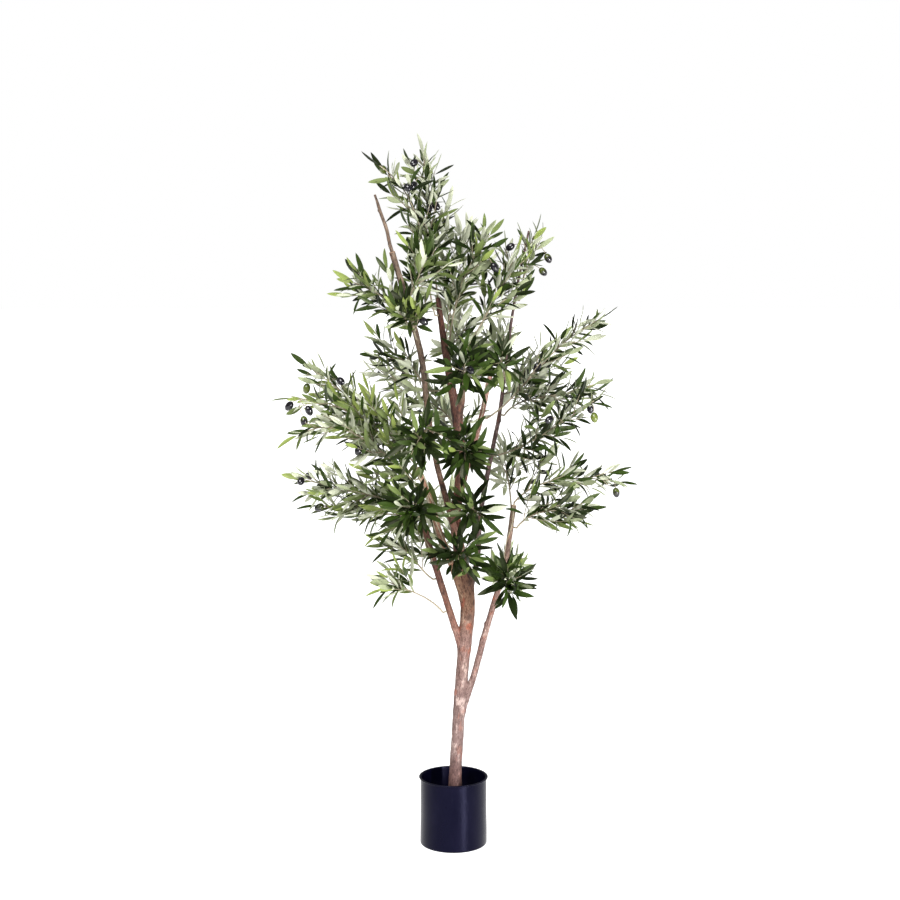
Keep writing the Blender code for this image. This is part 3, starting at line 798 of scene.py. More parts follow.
FOOT_BARK = BarkTone(seen(100, 74, 70), seen(142, 112, 106), seen(112, 74, 64), seen(58, 40, 38))
PINK_BARK = BarkTone(seen(114, 93, 89), seen(172, 152, 145), seen(132, 90, 78), seen(76, 56, 52))
RUSSET_BARK = BarkTone(seen(124, 96, 88), seen(166, 140, 129), seen(152, 84, 58), seen(66, 44, 36))
OLIVE_BARK = BarkTone(seen(122, 90, 70), seen(158, 128, 104), seen(148, 76, 58), seen(60, 40, 32))
UMBER_BARK = BarkTone(seen(105, 69, 55), seen(138, 102, 86), seen(138, 66, 50), seen(46, 29, 25))
MAROON_BARK = BarkTone(seen(88, 55, 45), seen(116, 84, 69), seen(104, 56, 43), seen(40, 26, 23))
ROSE_BARK = BarkTone(seen(144, 108, 98), seen(178, 146, 134), seen(156, 90, 72), seen(76, 50, 44))
TAN_BARK = BarkTone(seen(148, 112, 90), seen(172, 138, 112), seen(160, 98, 74), seen(76, 52, 42))
GREY_BARK = BarkTone(seen(100, 83, 69), seen(132, 114, 97), seen(112, 78, 60), seen(50, 39, 34))
PURPLE_BARK = BarkTone(seen(89, 69, 67), seen(120, 100, 97), seen(102, 70, 61), seen(43, 32, 33))

TRUNK_TONES = (FOOT_BARK, PINK_BARK, RUSSET_BARK, OLIVE_BARK, UMBER_BARK, MAROON_BARK)
TRUNK_FINISH = BarkFinish("trunk bark", TRUNK_TONES)
ROSE_FINISH = BarkFinish("rose bark", (ROSE_BARK, UMBER_BARK, MAROON_BARK, UMBER_BARK))
TAN_FINISH = BarkFinish("tan bark", (OLIVE_BARK, TAN_BARK))
RUSSET_FINISH = BarkFinish("russet bark", (UMBER_BARK, ROSE_BARK))
GREY_FINISH = BarkFinish("grey brown bark", (UMBER_BARK, GREY_BARK, GREY_BARK))
TIP_FINISH = BarkFinish("worn grey bark", (GREY_BARK, GREY_BARK))
PURPLE_FINISH = BarkFinish("purple bark", (PURPLE_BARK, PURPLE_BARK))
PALE_FINISH = BarkFinish("pale bark", (PINK_BARK, RUSSET_BARK, GREY_BARK))

LEAF_FINISHES = (
    LeafFinish("deep leaf", seen(16, 27, 5), 0.4, 0.16, 0.00006),
    LeafFinish("dark leaf", seen(38, 55, 15), 0.42, 0.24, 0.00006),
    LeafFinish("fresh leaf", seen(88, 102, 54), 0.46, 0.36, 0.00006),
    LeafFinish("young leaf", seen(120, 134, 68), 0.48, 0.36, 0.00006),
    LeafFinish("silver underside", seen(178, 182, 160), 0.62, 0.3, 0.0001),
    LeafFinish("sage underside", seen(140, 148, 116), 0.6, 0.3, 0.0001),
)
OLIVE_FINISHES = (
    OliveFinish("green olive", seen(66, 80, 24), seen(86, 96, 34), seen(112, 120, 70), 0.28),
    OliveFinish("turning olive", seen(70, 80, 28), seen(16, 10, 20), seen(50, 46, 48), 0.24),
    OliveFinish("ripe olive", seen(15, 10, 22), seen(10, 7, 16), seen(40, 34, 56), 0.22),
)
WIRE_FINISH = WireFinish("wire skin", seen(150, 140, 118), seen(120, 108, 88))
POT_FINISH = PlasticFinish("satin pot plastic", seen(3, 3, 17), seen(20, 18, 36))
CEMENT_FINISH = CementFinish("dark cement", seen(70, 66, 62), seen(104, 98, 92), seen(38, 35, 34))


class Mark(Enum):
    """What a place on the bark shows: the name of the value that paints it."""

    KNOT = "knot"
    PALE = "pale"
    WARM = "warm"


@dataclass(frozen=True)
class Knot:
    """A bump, scar or patch on a limb.

    Attributes:
        at: The fraction of the limb's length.
        bearing: The side it is on, in degrees from +X toward +Y.
        height: How far it stands out, in metres, or in if negative.
        spread: Its radius, in metres.
        mark: What it shows.
    """

    at: float
    bearing: float
    height: float
    spread: float
    mark: Mark = Mark.KNOT


@dataclass(frozen=True)
class Limb:
    """A tapering limb, with guide rows of (x, y, z, radius) from its foot to its cut end."""

    name: str
    parent: str
    finish: BarkFinish
    sides: int
    guides: tuple
    knots: tuple = ()


@dataclass(frozen=True)
class Olive:
    """An olive on its own stalk.

    Attributes:
        at: The fraction of the stem where the stalk leaves it.
        bearing: Where the stalk leads, in degrees from +X toward +Y.
        rise: How far above level it leads, in degrees.
        stalk: The stalk's length, in metres.
        ripeness: How ripe the olive is.
    """

    at: float
    bearing: float
    rise: float
    stalk: float
    ripeness: Ripeness


@dataclass(frozen=True)
class Strand:
    """The spare end of a stem's wire, which lies on the bark below a bough's cut end.

    Attributes:
        limb: The bough.
        start: The fraction of the bough where it ends.
        turn: The side it lies on, in degrees from the back toward the left.
        drift: How far it wanders from there, in degrees.
    """

    limb: str
    start: float
    turn: float
    drift: float


@dataclass(frozen=True)
class Spray:
    """A spray of leaves on one stem, with the numbers that its solid is grown from.

    Attributes:
        region: The part of the crown it belongs to.
        name: The node it replaces.
        limb: The limb that its stem leaves.
        at: The fraction of that limb's length where it does.
        bearing: Where its tip lies from its foot, in degrees from +X toward +Y.
        rise: How far above level the tip lies, in degrees.
        reach: The distance from its foot to its tip, in metres.
        curl: How much it turns up at the tip, in degrees.
        lean: How much its stem first leans along the limb.
        bare: The first fraction of the stem, which has no leaves.
        twigs: How many side twigs its solid has.
        fullness: How many side twigs it has here, as a share of its region's habit.
        olives: The olives on its stem.
        seed: What its random values grow from.
    """

    region: Region
    name: str
    limb: str
    at: float
    bearing: float
    rise: float
    reach: float
    curl: float = 0.0
    lean: float = 0.45
    bare: float = 0.35
    twigs: int = 2
    fullness: float = 1.0
    olives: tuple = ()
    seed: int = 1


POT_HEIGHT = 0.175
RIM_RADIUS = 0.088
NECK_RADIUS = 0.0840
FOOT_RADIUS = 0.0850
FOOT_CORNER = 0.004
LIP_HEIGHT = 0.0045
POT_WALL = 0.0025
FILL_TOP = 0.105
# The gap between two pieces that touch.
CLEARANCE = 0.0003
# How far a leaf's tip swings sideways, over its length and for each radian of its twist.
SICKLE = 0.35
# How far a bough's tip runs straight on from the cut end, over the way to its first guide row.
COLLAR_SHARE = 0.4
# The olives are ovals with this length and width.
OLIVE_LENGTH = 0.0250
OLIVE_WIDTH = 0.0182

LIMBS = (
    Limb("trunk", "", TRUNK_FINISH, 48, (
        (0.006, 0.0, FILL_TOP + CLEARANCE, 0.019),
        (0.006, 0.0, 0.203, 0.0161),
        (0.02, 0.0, 0.426, 0.0155),
        (0.036, 0.0, 0.638, 0.0182),
        (0.006, 0.008, 0.823, 0.0131),
        (0.021, 0.008, 0.985, 0.0128),
        (0.01, 0.01, 1.084, 0.0118),
        (-0.02, 0.014, 1.259, 0.009),
        (-0.039, 0.02, 1.393, 0.006),
    ), (
        Knot(0.358, 282, 0.002, 0.011, Mark.WARM),
        Knot(0.358, 282, -0.001, 0.0034),
        Knot(0.376, 285, 0.0022, 0.012),
        Knot(0.225, 215, 0.0012, 0.01, Mark.WARM),
        Knot(0.208, 265, 0.0006, 0.016, Mark.PALE),
        Knot(0.275, 285, 0.0006, 0.017, Mark.PALE),
        Knot(0.165, 250, -0.0008, 0.006),
        Knot(0.12, 250, 0.0004, 0.012, Mark.PALE),
        Knot(0.445, 300, 0.002, 0.011),
        Knot(0.62, 340, 0.005, 0.007),
        Knot(0.74, 200, 0.0018, 0.008),
    )),
    Limb("low_left_bough", "trunk", ROSE_FINISH, 32, (
        (0.024, 0.0, 0.504, 0.0105),
        (-0.004, -0.008, 0.588, 0.0086),
        (-0.061, -0.04, 0.781, 0.008),
        (-0.075, -0.05, 0.845, 0.0072),
    ), (Knot(0.45, 260, 0.0012, 0.006), Knot(0.75, 200, 0.0016, 0.006))),
    Limb("mid_left_bough", "trunk", TAN_FINISH, 32, (
        (0.03, 0.0, 0.628, 0.0105),
        (-0.002, -0.02, 0.719, 0.0085),
        (-0.036, -0.06, 0.82, 0.0077),
        (-0.058, -0.085, 0.901, 0.0074),
        (-0.089, -0.105, 0.982, 0.0068),
    ), (Knot(0.55, 280, 0.0014, 0.006), Knot(0.86, 230, 0.0012, 0.005))),
    Limb("tall_left_bough", "trunk", GREY_FINISH, 32, (
        (0.01, 0.006, 0.785, 0.009),
        (-0.018, -0.045, 0.895, 0.0077),
        (-0.046, -0.075, 1.011, 0.0069),
        (-0.065, -0.095, 1.136, 0.0068),
        (-0.079, -0.115, 1.259, 0.0072),
        (-0.115, -0.14, 1.397, 0.0074),
        (-0.146, -0.16, 1.506, 0.007),
    ), (Knot(0.33, 250, 0.0014, 0.006), Knot(0.6, 300, 0.0018, 0.007), Knot(0.82, 220, 0.0014, 0.006))),
    Limb("tall_left_tip", "tall_left_bough", TIP_FINISH, 24, (
        (-0.16, -0.165, 1.563, 0.0042),
        (-0.173, -0.168, 1.6, 0.0038),
        (-0.186, -0.17, 1.64, 0.0026),
    ), (Knot(0.72, 180, 0.0022, 0.0034), Knot(0.1, 190, 0.0012, 0.006, Mark.PALE))),
    Limb("tall_right_bough", "trunk", PURPLE_FINISH, 32, (
        (0.034, 0.0, 0.633, 0.0086),
        (0.06, 0.04, 0.728, 0.0071),
        (0.069, 0.065, 0.841, 0.0066),
        (0.097, 0.077, 0.996, 0.0056),
        (0.117, 0.085, 1.095, 0.0053),
        (0.134, 0.076, 1.237, 0.0043),
        (0.155, 0.06, 1.394, 0.0035),
        (0.188, 0.055, 1.558, 0.0025),
    ), (Knot(0.36, 200, 0.0026, 0.006), Knot(0.49, 350, 0.003, 0.0045), Knot(0.68, 230, 0.0014, 0.004))),
    Limb("back_right_bough", "trunk", RUSSET_FINISH, 32, (
        (0.02, 0.008, 0.927, 0.0085),
        (0.043, 0.03, 0.996, 0.0073),
        (0.07, 0.06, 1.089, 0.0066),
        (0.094, 0.085, 1.199, 0.0061),
    ), (Knot(0.5, 300, 0.0014, 0.005),)),
    Limb("low_right_bough", "trunk", PALE_FINISH, 32, (
        (0.018, 0.0, 0.342, 0.0105),
        (0.05, -0.004, 0.432, 0.0083),
        (0.075, -0.012, 0.532, 0.0081),
        (0.099, -0.02, 0.619, 0.0073),
        (0.129, -0.03, 0.731, 0.007),
        (0.15, -0.04, 0.88, 0.0067),
    ), (
        Knot(0.29, 285, 0.0018, 0.005),
        Knot(0.36, 200, 0.0016, 0.006),
        Knot(0.44, 190, 0.003, 0.004),
        Knot(0.62, 330, 0.0016, 0.006),
        Knot(0.82, 260, 0.0014, 0.005),
    )),
    Limb("short_stub", "trunk", GREY_FINISH, 32, (
        (0.011, 0.01, 1.079, 0.008),
        (0.022, 0.005, 1.144, 0.0072),
        (0.021, -0.01, 1.225, 0.0062),
    ), (Knot(0.6, 300, 0.0012, 0.005),)),
)

GREEN, TURNING, RIPE = Ripeness.GREEN, Ripeness.TURNING, Ripeness.RIPE
TOP, RIGHT, LEFT, FRONT, REAR = Region.TOP, Region.RIGHT, Region.LEFT, Region.FRONT, Region.REAR

SPRAYS = (
    Spray(TOP, "leader_spray", "trunk", 1.0, 148, 83, 0.41,
          curl=-1, lean=0.49, bare=0.3, twigs=5, seed=578, olives=(
              Olive(0.93, -128, 23, 0.033, RIPE),
              Olive(0.85, -131, -16, 0.041, RIPE),
              Olive(0.65, -89, 10, 0.012, RIPE),
              Olive(0.69, -28, -14, 0.014, RIPE),
          )),
    Spray(TOP, "high_left_spray", "trunk", 0.967, 201, 63, 0.443,
          curl=-32, lean=0.87, bare=0.31, seed=708, olives=(
              Olive(0.99, 81, 7, 0.015, GREEN),
              Olive(0.82, -55, 14, 0.017, RIPE),
          )),
    Spray(TOP, "tall_front_spray", "trunk", 0.916, 325, 61, 0.345,
          curl=-15, lean=1.18, bare=0.22, twigs=3, seed=193, olives=(Olive(0.82, -9, -34, 0.044, RIPE),)),
    Spray(TOP, "behind_leader_spray", "trunk", 0.932, 67, 55, 0.357,
          curl=-26, lean=0.05, bare=0.09, seed=847),
    Spray(TOP, "upper_left_spray", "tall_left_bough", 0.849, 57, 81, 0.156,
          curl=35, lean=-0.43, bare=0.06, fullness=1.4, seed=774),
    Spray(TOP, "left_crown_spray", "tall_left_bough", 0.786, 189, 30, 0.212,
          curl=-8, lean=0.76, bare=0.08, seed=363),
    Spray(TOP, "front_crown_spray", "tall_left_bough", 0.717, 253, 40, 0.138,
          curl=-8, lean=-0.22, bare=0.38, fullness=1.2, seed=26, olives=(Olive(0.84, 7, 4, 0.021, RIPE),)),
    Spray(TOP, "right_crown_spray", "tall_right_bough", 0.817, 344, 74, 0.224,
          curl=-2, lean=1.44, bare=0.11, fullness=0.4, seed=294, olives=(
              Olive(0.81, 171, 17, 0.04, RIPE),
              Olive(0.88, -20, -32, 0.045, TURNING),
              Olive(0.55, 23, -5, 0.04, TURNING),
          )),
    Spray(TOP, "high_right_spray", "short_stub", 1.0, 10, 65, 0.366,
          curl=5, lean=0.2, bare=0.38, twigs=3, fullness=1.2, seed=88),
    Spray(RIGHT, "upper_right_spray", "back_right_bough", 0.611, 358, 39, 0.437,
          curl=-12, lean=-0.19, bare=0.21, twigs=3, seed=358, olives=(
              Olive(0.57, -175, -24, 0.016, RIPE),
          )),
    Spray(RIGHT, "right_spray", "tall_right_bough", 0.507, 332, 20, 0.326,
          curl=5, lean=1.13, bare=0.12, seed=738, olives=(Olive(0.95, -82, -62, 0.045, RIPE),)),
    Spray(RIGHT, "right_front_spray", "tall_right_bough", 0.396, 318, 27, 0.416,
          curl=4, lean=-0.24, bare=0.13, fullness=1.2, seed=309, olives=(
              Olive(0.97, -76, -43, 0.031, GREEN),
              Olive(0.69, -138, 24, 0.037, RIPE),
          )),
    Spray(RIGHT, "long_right_spray", "low_right_bough", 1.0, 13, 7, 0.336,
          curl=-17, lean=1.24, bare=0.06, seed=103, olives=(Olive(0.94, 0, -69, 0.019, TURNING),)),
    Spray(RIGHT, "low_right_spray", "low_right_bough", 0.902, 340, 14, 0.248,
          curl=-9, lean=1.3, bare=0.16, seed=750),
    Spray(LEFT, "long_left_spray", "mid_left_bough", 1.0, 175, 42, 0.419,
          curl=-6, lean=0.6, bare=0.14, twigs=3, fullness=1.4, seed=442, olives=(
              Olive(0.98, -131, -66, 0.038, GREEN),
              Olive(0.82, -49, 25, 0.031, RIPE),
          )),
    Spray(LEFT, "left_spray", "mid_left_bough", 0.933, 199, 29, 0.419,
          curl=-30, lean=1.55, bare=0.15, twigs=3, fullness=1.4, seed=641, olives=(
              Olive(0.96, 174, -18, 0.023, RIPE),
              Olive(0.97, -4, -44, 0.023, RIPE),
              Olive(0.96, -72, -61, 0.044, TURNING),
          )),
    Spray(LEFT, "level_left_spray", "mid_left_bough", 0.853, 209, 18, 0.404,
          curl=-45, lean=1.64, bare=0.06, twigs=3, seed=396, olives=(Olive(0.52, -145, -28, 0.021, RIPE),)),
    Spray(LEFT, "low_left_spray", "mid_left_bough", 0.748, 181, 12, 0.378,
          curl=3, lean=-0.11, bare=0.06, twigs=3, fullness=1.4, seed=452, olives=(
              Olive(0.98, 69, 24, 0.024, RIPE),
              Olive(0.98, -99, 21, 0.014, RIPE),
          )),
    Spray(LEFT, "drooping_left_spray", "low_left_bough", 1.0, 186, 9, 0.319,
          curl=1, lean=-0.05, bare=0.09, fullness=0.8, seed=301, olives=(
              Olive(0.88, -179, 20, 0.023, TURNING),
          )),
    Spray(LEFT, "lowest_left_spray", "low_left_bough", 0.31, 200, 28, 0.242,
          curl=-3, lean=1.0, bare=0.55, fullness=0.7, seed=18),
    Spray(LEFT, "lower_left_spray", "low_left_bough", 0.559, 176, 33, 0.212,
          curl=-13, lean=0.03, bare=0.24, fullness=0.6, seed=284),
    Spray(FRONT, "front_centre_spray", "short_stub", 0.695, 271, 18, 0.27,
          curl=2, lean=-0.06, bare=0.27, twigs=3, seed=877, olives=(
              Olive(0.81, 102, 16, 0.023, RIPE),
              Olive(0.79, -64, 20, 0.023, RIPE),
          )),
    Spray(FRONT, "front_right_spray", "tall_right_bough", 0.612, 266, 18, 0.29,
          curl=12, lean=0.66, bare=0.55, seed=599),
    Spray(FRONT, "middle_front_spray", "trunk", 0.681, 273, 19, 0.19,
          curl=-4, lean=1.53, bare=0.47, twigs=3, seed=122),
    Spray(FRONT, "middle_left_spray", "tall_left_bough", 0.431, 262, -8, 0.263,
          curl=-3, lean=-0.17, bare=0.06, twigs=3, seed=394),
    Spray(FRONT, "front_left_spray", "mid_left_bough", 0.662, 251, 17, 0.229,
          curl=2, lean=1.26, bare=0.53, twigs=3, seed=977),
    Spray(FRONT, "centre_front_spray", "tall_right_bough", 0.238, 263, 12, 0.265,
          curl=-1, lean=-0.23, bare=0.35, seed=360),
    Spray(FRONT, "low_front_spray", "low_right_bough", 0.622, 282, 19, 0.175,
          lean=-0.11, bare=0.49, twigs=3, seed=404),
    Spray(FRONT, "low_centre_spray", "trunk", 0.511, 269, -2, 0.225,
          curl=-9, lean=-0.1, bare=0.35, seed=212),
    Spray(REAR, "inner_left_spray", "trunk", 0.76, 132, 23, 0.17, curl=-2, bare=0.23, twigs=1, seed=494),
    Spray(REAR, "back_left_spray", "tall_left_bough", 0.571, 131, 33, 0.263,
          curl=8, lean=0.61, bare=0.07, seed=663),
    Spray(REAR, "back_right_spray", "low_right_bough", 0.96, 95, 30, 0.315, curl=-9, bare=0.3, seed=696),
    Spray(REAR, "back_side_spray", "back_right_bough", 1.0, 81, 26, 0.254, curl=-8, bare=0.06, seed=813),
    Spray(REAR, "back_upper_spray", "trunk", 0.88, 79, 22, 0.356, curl=14, bare=0.06, seed=112),
    Spray(REAR, "back_middle_spray", "trunk", 0.71, 100, 16, 0.326, curl=-7, bare=0.13, seed=436),
    Spray(REAR, "back_low_spray", "trunk", 0.55, 113, 10, 0.272, curl=-8, bare=0.2, seed=869),
    Spray(REAR, "back_left_high_spray", "trunk", 0.825, 132, 11, 0.351,
          curl=15, lean=-0.44, bare=0.21, seed=9),
    Spray(REAR, "back_left_low_spray", "trunk", 0.48, 133, 12, 0.29, curl=-16, bare=0.06, seed=503),
    Spray(REAR, "back_right_high_spray", "tall_right_bough", 0.56, 61, 15, 0.266,
          lean=0.07, bare=0.06, seed=148),
    Spray(REAR, "back_right_low_spray", "low_right_bough", 0.57, 78, 23, 0.267,
          curl=12, bare=0.24, seed=525),
)

STRANDS = (
    Strand("mid_left_bough", 0.30, 168, 34),
    Strand("mid_left_bough", 0.42, 140, -30),
    Strand("mid_left_bough", 0.62, 196, 26),
    Strand("low_left_bough", 0.70, 150, 30),
    Strand("low_right_bough", 0.74, 160, -34),
    Strand("back_right_bough", 0.55, 150, 30),
)


def settle(piece: bpy.types.Object, nodes: list[str]) -> None:
    """Fix a piece to the tree's one body and say which nodes it stands for.

    Args:
        piece: The new piece.
        nodes: The nodes that it replaces.
    """
    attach(piece, "root")
    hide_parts(*nodes)
    triangles = sum(len(face.vertices) - 2 for face in piece.data.polygons)
    log.info("%s: %d triangles, for %d nodes", piece.name, triangles, len(nodes))


@dataclass
class Pot:
    """The plain pot: a thin shell with an out-turned lip, a rounded foot and a flat floor.

    Attributes:
        steps: Steps of the turn.
        wall_rings: Rings on each side of the wall.
        corner: The radius of the inner corners, at the floor and at the lip.
        bead: The radius of the lip's rounded edge.
        hollow: The radius of the hollow under the lip.
        shoulder: The distance from that hollow down to the straight wall.
        middle_ring: The radius of the innermost ring of the floor.
        sag: How far the wall is out of round.
    """

    steps: int = 128
    wall_rings: int = 24
    corner: float = 0.003
    bead: float = 0.0012
    hollow: float = 0.0015
    shoulder: float = 0.001
    middle_ring: float = 0.03
    sag: float = 0.0005

    def profile(self) -> Array:
        """The wall's outline: up the inside, over the rounded lip, down the outside.

        Returns:
            Points (radius, height).
        """
        corner, bead, ring, rings = self.corner, self.bead, self.middle_ring, self.wall_rings
        foot, neck = FOOT_RADIUS - POT_WALL, NECK_RADIUS - POT_WALL
        low, high, under = POT_WALL + corner, POT_HEIGHT - corner, POT_HEIGHT - LIP_HEIGHT
        return np.vstack([
            [(0.0, POT_WALL), (ring, POT_WALL)],
            arc((foot - corner, low), corner, -90, -10, 5),
            np.linspace((foot, low), (neck, high), rings),
            arc((neck + corner, high), corner, 170, 95, 5),
            arc((RIM_RADIUS - bead, POT_HEIGHT - bead), bead, 85, -85, 7),
            arc((NECK_RADIUS + self.hollow, under), self.hollow, 90, 178, 4),
            np.linspace((NECK_RADIUS, under - self.shoulder), (FOOT_RADIUS, FOOT_CORNER), rings),
            arc((FOOT_RADIUS - FOOT_CORNER, FOOT_CORNER), FOOT_CORNER, -8, -90, 6),
            [(ring, 0.0), (0.0, 0.0)],
        ])

    def build(self) -> bpy.types.Object:
        """The shell, whose thin wall is a little out of round between lip and floor.

        The radius gains the sag, times the cosines of three turns and of two, times the sine of
        half a turn from the foot to the lip.

        Returns:
            The shell's object.
        """
        skin = turned_surface(self.profile(), self.steps)
        turn, radius, height = skin.values["around"].T
        rise = height / POT_HEIGHT
        on_wall = radius > 2 * self.middle_ring
        waver = np.cos(3 * turn + 0.8) + 0.7 * np.cos(2 * turn + 6 * rise)
        stretch = self.sag * np.sin(math.pi * np.clip(rise, 0.0, 1.0)) * on_wall * waver
        skin.points[:, :2] *= (1 + stretch / np.maximum(radius, self.middle_ring))[:, None]
        return skin.as_object("pot_shell", [POT_FINISH.material()], sharp=50)

    def dress(self) -> None:
        """Build the shell and fix it."""
        settle(self.build(), ["pot"])


@dataclass
class Fill:
    """The cement plug that holds the trunk's foot, with a hand-smoothed top.

    Attributes:
        steps: Steps of the turn.
        rings: Rings of the top.
        wall_rings: Rings of the side.
        middle_ring: The radius of the ring underneath.
        edge: How far the top lies below the solid's, and the wall's upper edge below the top.
        roughness: The height of the top's bumps.
        coarse: The length of the broad bumps, and how many the turn has.
        fine: The same of the small bumps.
    """

    steps: int = 96
    rings: int = 26
    wall_rings: int = 8
    middle_ring: float = 0.04
    edge: float = 0.001
    roughness: float = 0.0009
    coarse: tuple = (0.018, 7)
    fine: tuple = (0.006, 26)

    def build(self) -> bpy.types.Object:
        """The plug, whose top dips and rises by smooth noise.

        Returns:
            The plug's object.
        """
        share = FILL_TOP / POT_HEIGHT
        inset = POT_WALL + 2 * CLEARANCE
        top_radius = FOOT_RADIUS + (NECK_RADIUS - FOOT_RADIUS) * share - inset
        bottom = POT_WALL + CLEARANCE
        top_height, wall_height = FILL_TOP - self.edge, FILL_TOP - 2 * self.edge
        profile = np.vstack([
            np.linspace((0.0, top_height), (top_radius, top_height), self.rings),
            np.linspace((top_radius, wall_height), (FOOT_RADIUS - inset, bottom), self.wall_rings),
            [(self.middle_ring, bottom), (0.0, bottom)],
        ])
        skin = turned_surface(profile, self.steps)
        turn, radius, height = skin.values["around"].T
        rng = np.random.default_rng([SEED, FILL_DRAWS])
        coarse = lattice_noise(radius, turn / math.tau, *self.coarse, rng)
        fine = lattice_noise(radius, turn / math.tau, *self.fine, rng)
        on_top = (height > 0.5 * (top_height + wall_height)) & (radius > 0.0)
        skin.points[:, 2] += on_top * self.roughness * np.clip(0.6 * coarse + 0.4 * fine, -1.0, 1.0)
        return skin.as_object("cement_fill", [CEMENT_FINISH.material()], sharp=60)

    def dress(self) -> None:
        """Build the plug and fix it."""
        settle(self.build(), ["fill"])


@dataclass
class Timber:
    """The trunk and the boughs, with the bark's relief, knots and cut ends.

    Attributes:
        guide_steps: Rows between two guide rows of a limb.
        ring_spacing: Distance between the rings of the bark's mesh.
        fillet: How far from its neighbour a limb starts to swell toward it.
        joint_spacing: How finely the neighbour's path is read for that.
        swell: The slow swelling of a limb, as a share of its radius.
        ridge: The height of the bark's long ridges.
        grit: The height of the bark's small bumps.
        swell_grain: The length of a swelling, and how many the turn has.
        ridge_grain: The same of the ridges.
        grit_grain: The same of the small bumps.
        knot_dip: The depth of the hollow in a knot's middle, as a share of its height.
        end_bevel: The worn edge of a cut end.
        tone_heights: Heights on the trunk where the bark's tone is set.
        tone_shares: How far it has turned there from the first tone to the last.
    """

    guide_steps: int = 24
    ring_spacing: float = 0.003
    fillet: float = 0.011
    joint_spacing: float = 0.004
    swell: float = 0.05
    ridge: float = 0.00045
    grit: float = 0.00022
    swell_grain: tuple = (0.045, 3)
    ridge_grain: tuple = (0.016, 11)
    grit_grain: tuple = (0.006, 19)
    knot_dip: float = 0.45
    end_bevel: float = 0.0008
    tone_heights: tuple = (0.190, 0.235, 0.38, 0.54, 0.62, 0.76, 1.15)
    tone_shares: tuple = (0.0, 0.2, 0.23, 0.4, 0.6, 0.8, 1.0)

    def __post_init__(self) -> None:
        """Work out each limb's path."""
        self.paths: dict[str, Path] = {}
        for limb in LIMBS:
            self.paths[limb.name] = self.grown(limb)

    def grown(self, limb: Limb) -> Path:
        """A limb's path through its guides, which a bough's tip starts square on its cut end.

        Args:
            limb: The limb.

        Returns:
            The path.
        """
        guides = np.array(limb.guides)
        if limb.parent in ("", "trunk"):
            return smooth_path(guides, self.guide_steps)
        end, along = self.paths[limb.parent].at(1.0)
        start = end[0, :3] + CLEARANCE * along[0]
        collar = start + COLLAR_SHARE * np.linalg.norm(guides[0, :3] - start) * along[0]
        radius = guides[0, 3]
        return smooth_path(np.vstack([[*start, radius], [*collar, radius], guides]), self.guide_steps)

    def joint_swell(self, name: str, points: Array) -> Array:
        """How far each point stands out to meet the limb that it joins.

        With d the distance from the neighbour's skin and k the fillet, it is a quarter of k
        times the square of one less d over k, and nothing beyond k.

        Args:
            name: The limb that the points are on.
            points: The points.

        Returns:
            One distance to a point.
        """
        swell = np.zeros(len(points))
        for other in LIMBS:
            if name == other.name or "trunk" not in (name, other.name) or other.parent not in ("", "trunk"):
                continue
            gaps = skin_gap(points, self.paths[other.name].evenly(self.joint_spacing).rows)
            near = np.clip(1.0 - np.abs(gaps) / self.fillet, 0.0, 1.0)
            swell = np.maximum(swell, 0.25 * self.fillet * near**2)
        return swell

    def bark(self, limb: Limb, number: int) -> Surface:
        """A limb's skin, a function of the distance along it and the turn round it.

        A point is the path's place plus, along the spoke at its turn, the radius, times one
        plus the slow swelling, plus the ridges, the grit, the knots and the fillet.

        Args:
            limb: The limb.
            number: Its place in the list, for the random values.

        Returns:
            The closed surface, with the values that the bark's material reads.
        """
        rng = np.random.default_rng([SEED, BARK_DRAWS + number])
        path = self.paths[limb.name].evenly(self.ring_spacing)
        rows, (_, along) = path.rows, path.at(np.linspace(0.0, 1.0, len(path.rows)))
        first, second = square_axes(along, BACK)
        turn = np.linspace(0.0, 1.0, limb.sides, endpoint=False)
        spokes = swung((first[:, None], second[:, None]), math.tau * turn)
        marks, radius = path.marks[:, None], rows[:, 3:]
        relief = self.swell * radius * lattice_noise(marks, turn, *self.swell_grain, rng)
        relief += self.ridge * lattice_noise(marks, turn, *self.ridge_grain, rng)
        relief += self.grit * lattice_noise(marks, turn, *self.grit_grain, rng)
        skin = rows[:, None, :3] + radius[..., None] * spokes
        values = {mark.value: np.zeros(relief.shape) for mark in Mark}
        for knot in limb.knots:
            row = path.at(knot.at)[0][0]
            centre = row[:3] + row[3] * heading(knot.bearing, 0)
            near = np.exp(-((np.linalg.norm(skin - centre, axis=-1) / knot.spread) ** 2))
            relief += knot.height * (near - self.knot_dip * near**6)
            values[knot.mark.value] = np.maximum(values[knot.mark.value], near**2)
        relief += self.joint_swell(limb.name, skin.reshape(-1, 3)).reshape(relief.shape)
        angle = math.tau * turn
        grain = np.broadcast_arrays(radius * np.cos(angle), radius * np.sin(angle), marks + number)
        values |= {"grain": np.stack(grain, axis=-1), "tone": self.tone(limb, rows)[:, None] + 0 * turn}
        return self.capped(skin + relief[..., None] * spokes, rows, along, values)

    def tone(self, limb: Limb, rows: Array) -> Array:
        """How far the bark has turned from its foot's tone to its tip's, from 0 to 1."""
        if limb.name == "trunk":
            return np.interp(rows[:, 2], self.tone_heights, self.tone_shares)
        return np.linspace(0.0, 1.0, len(rows))

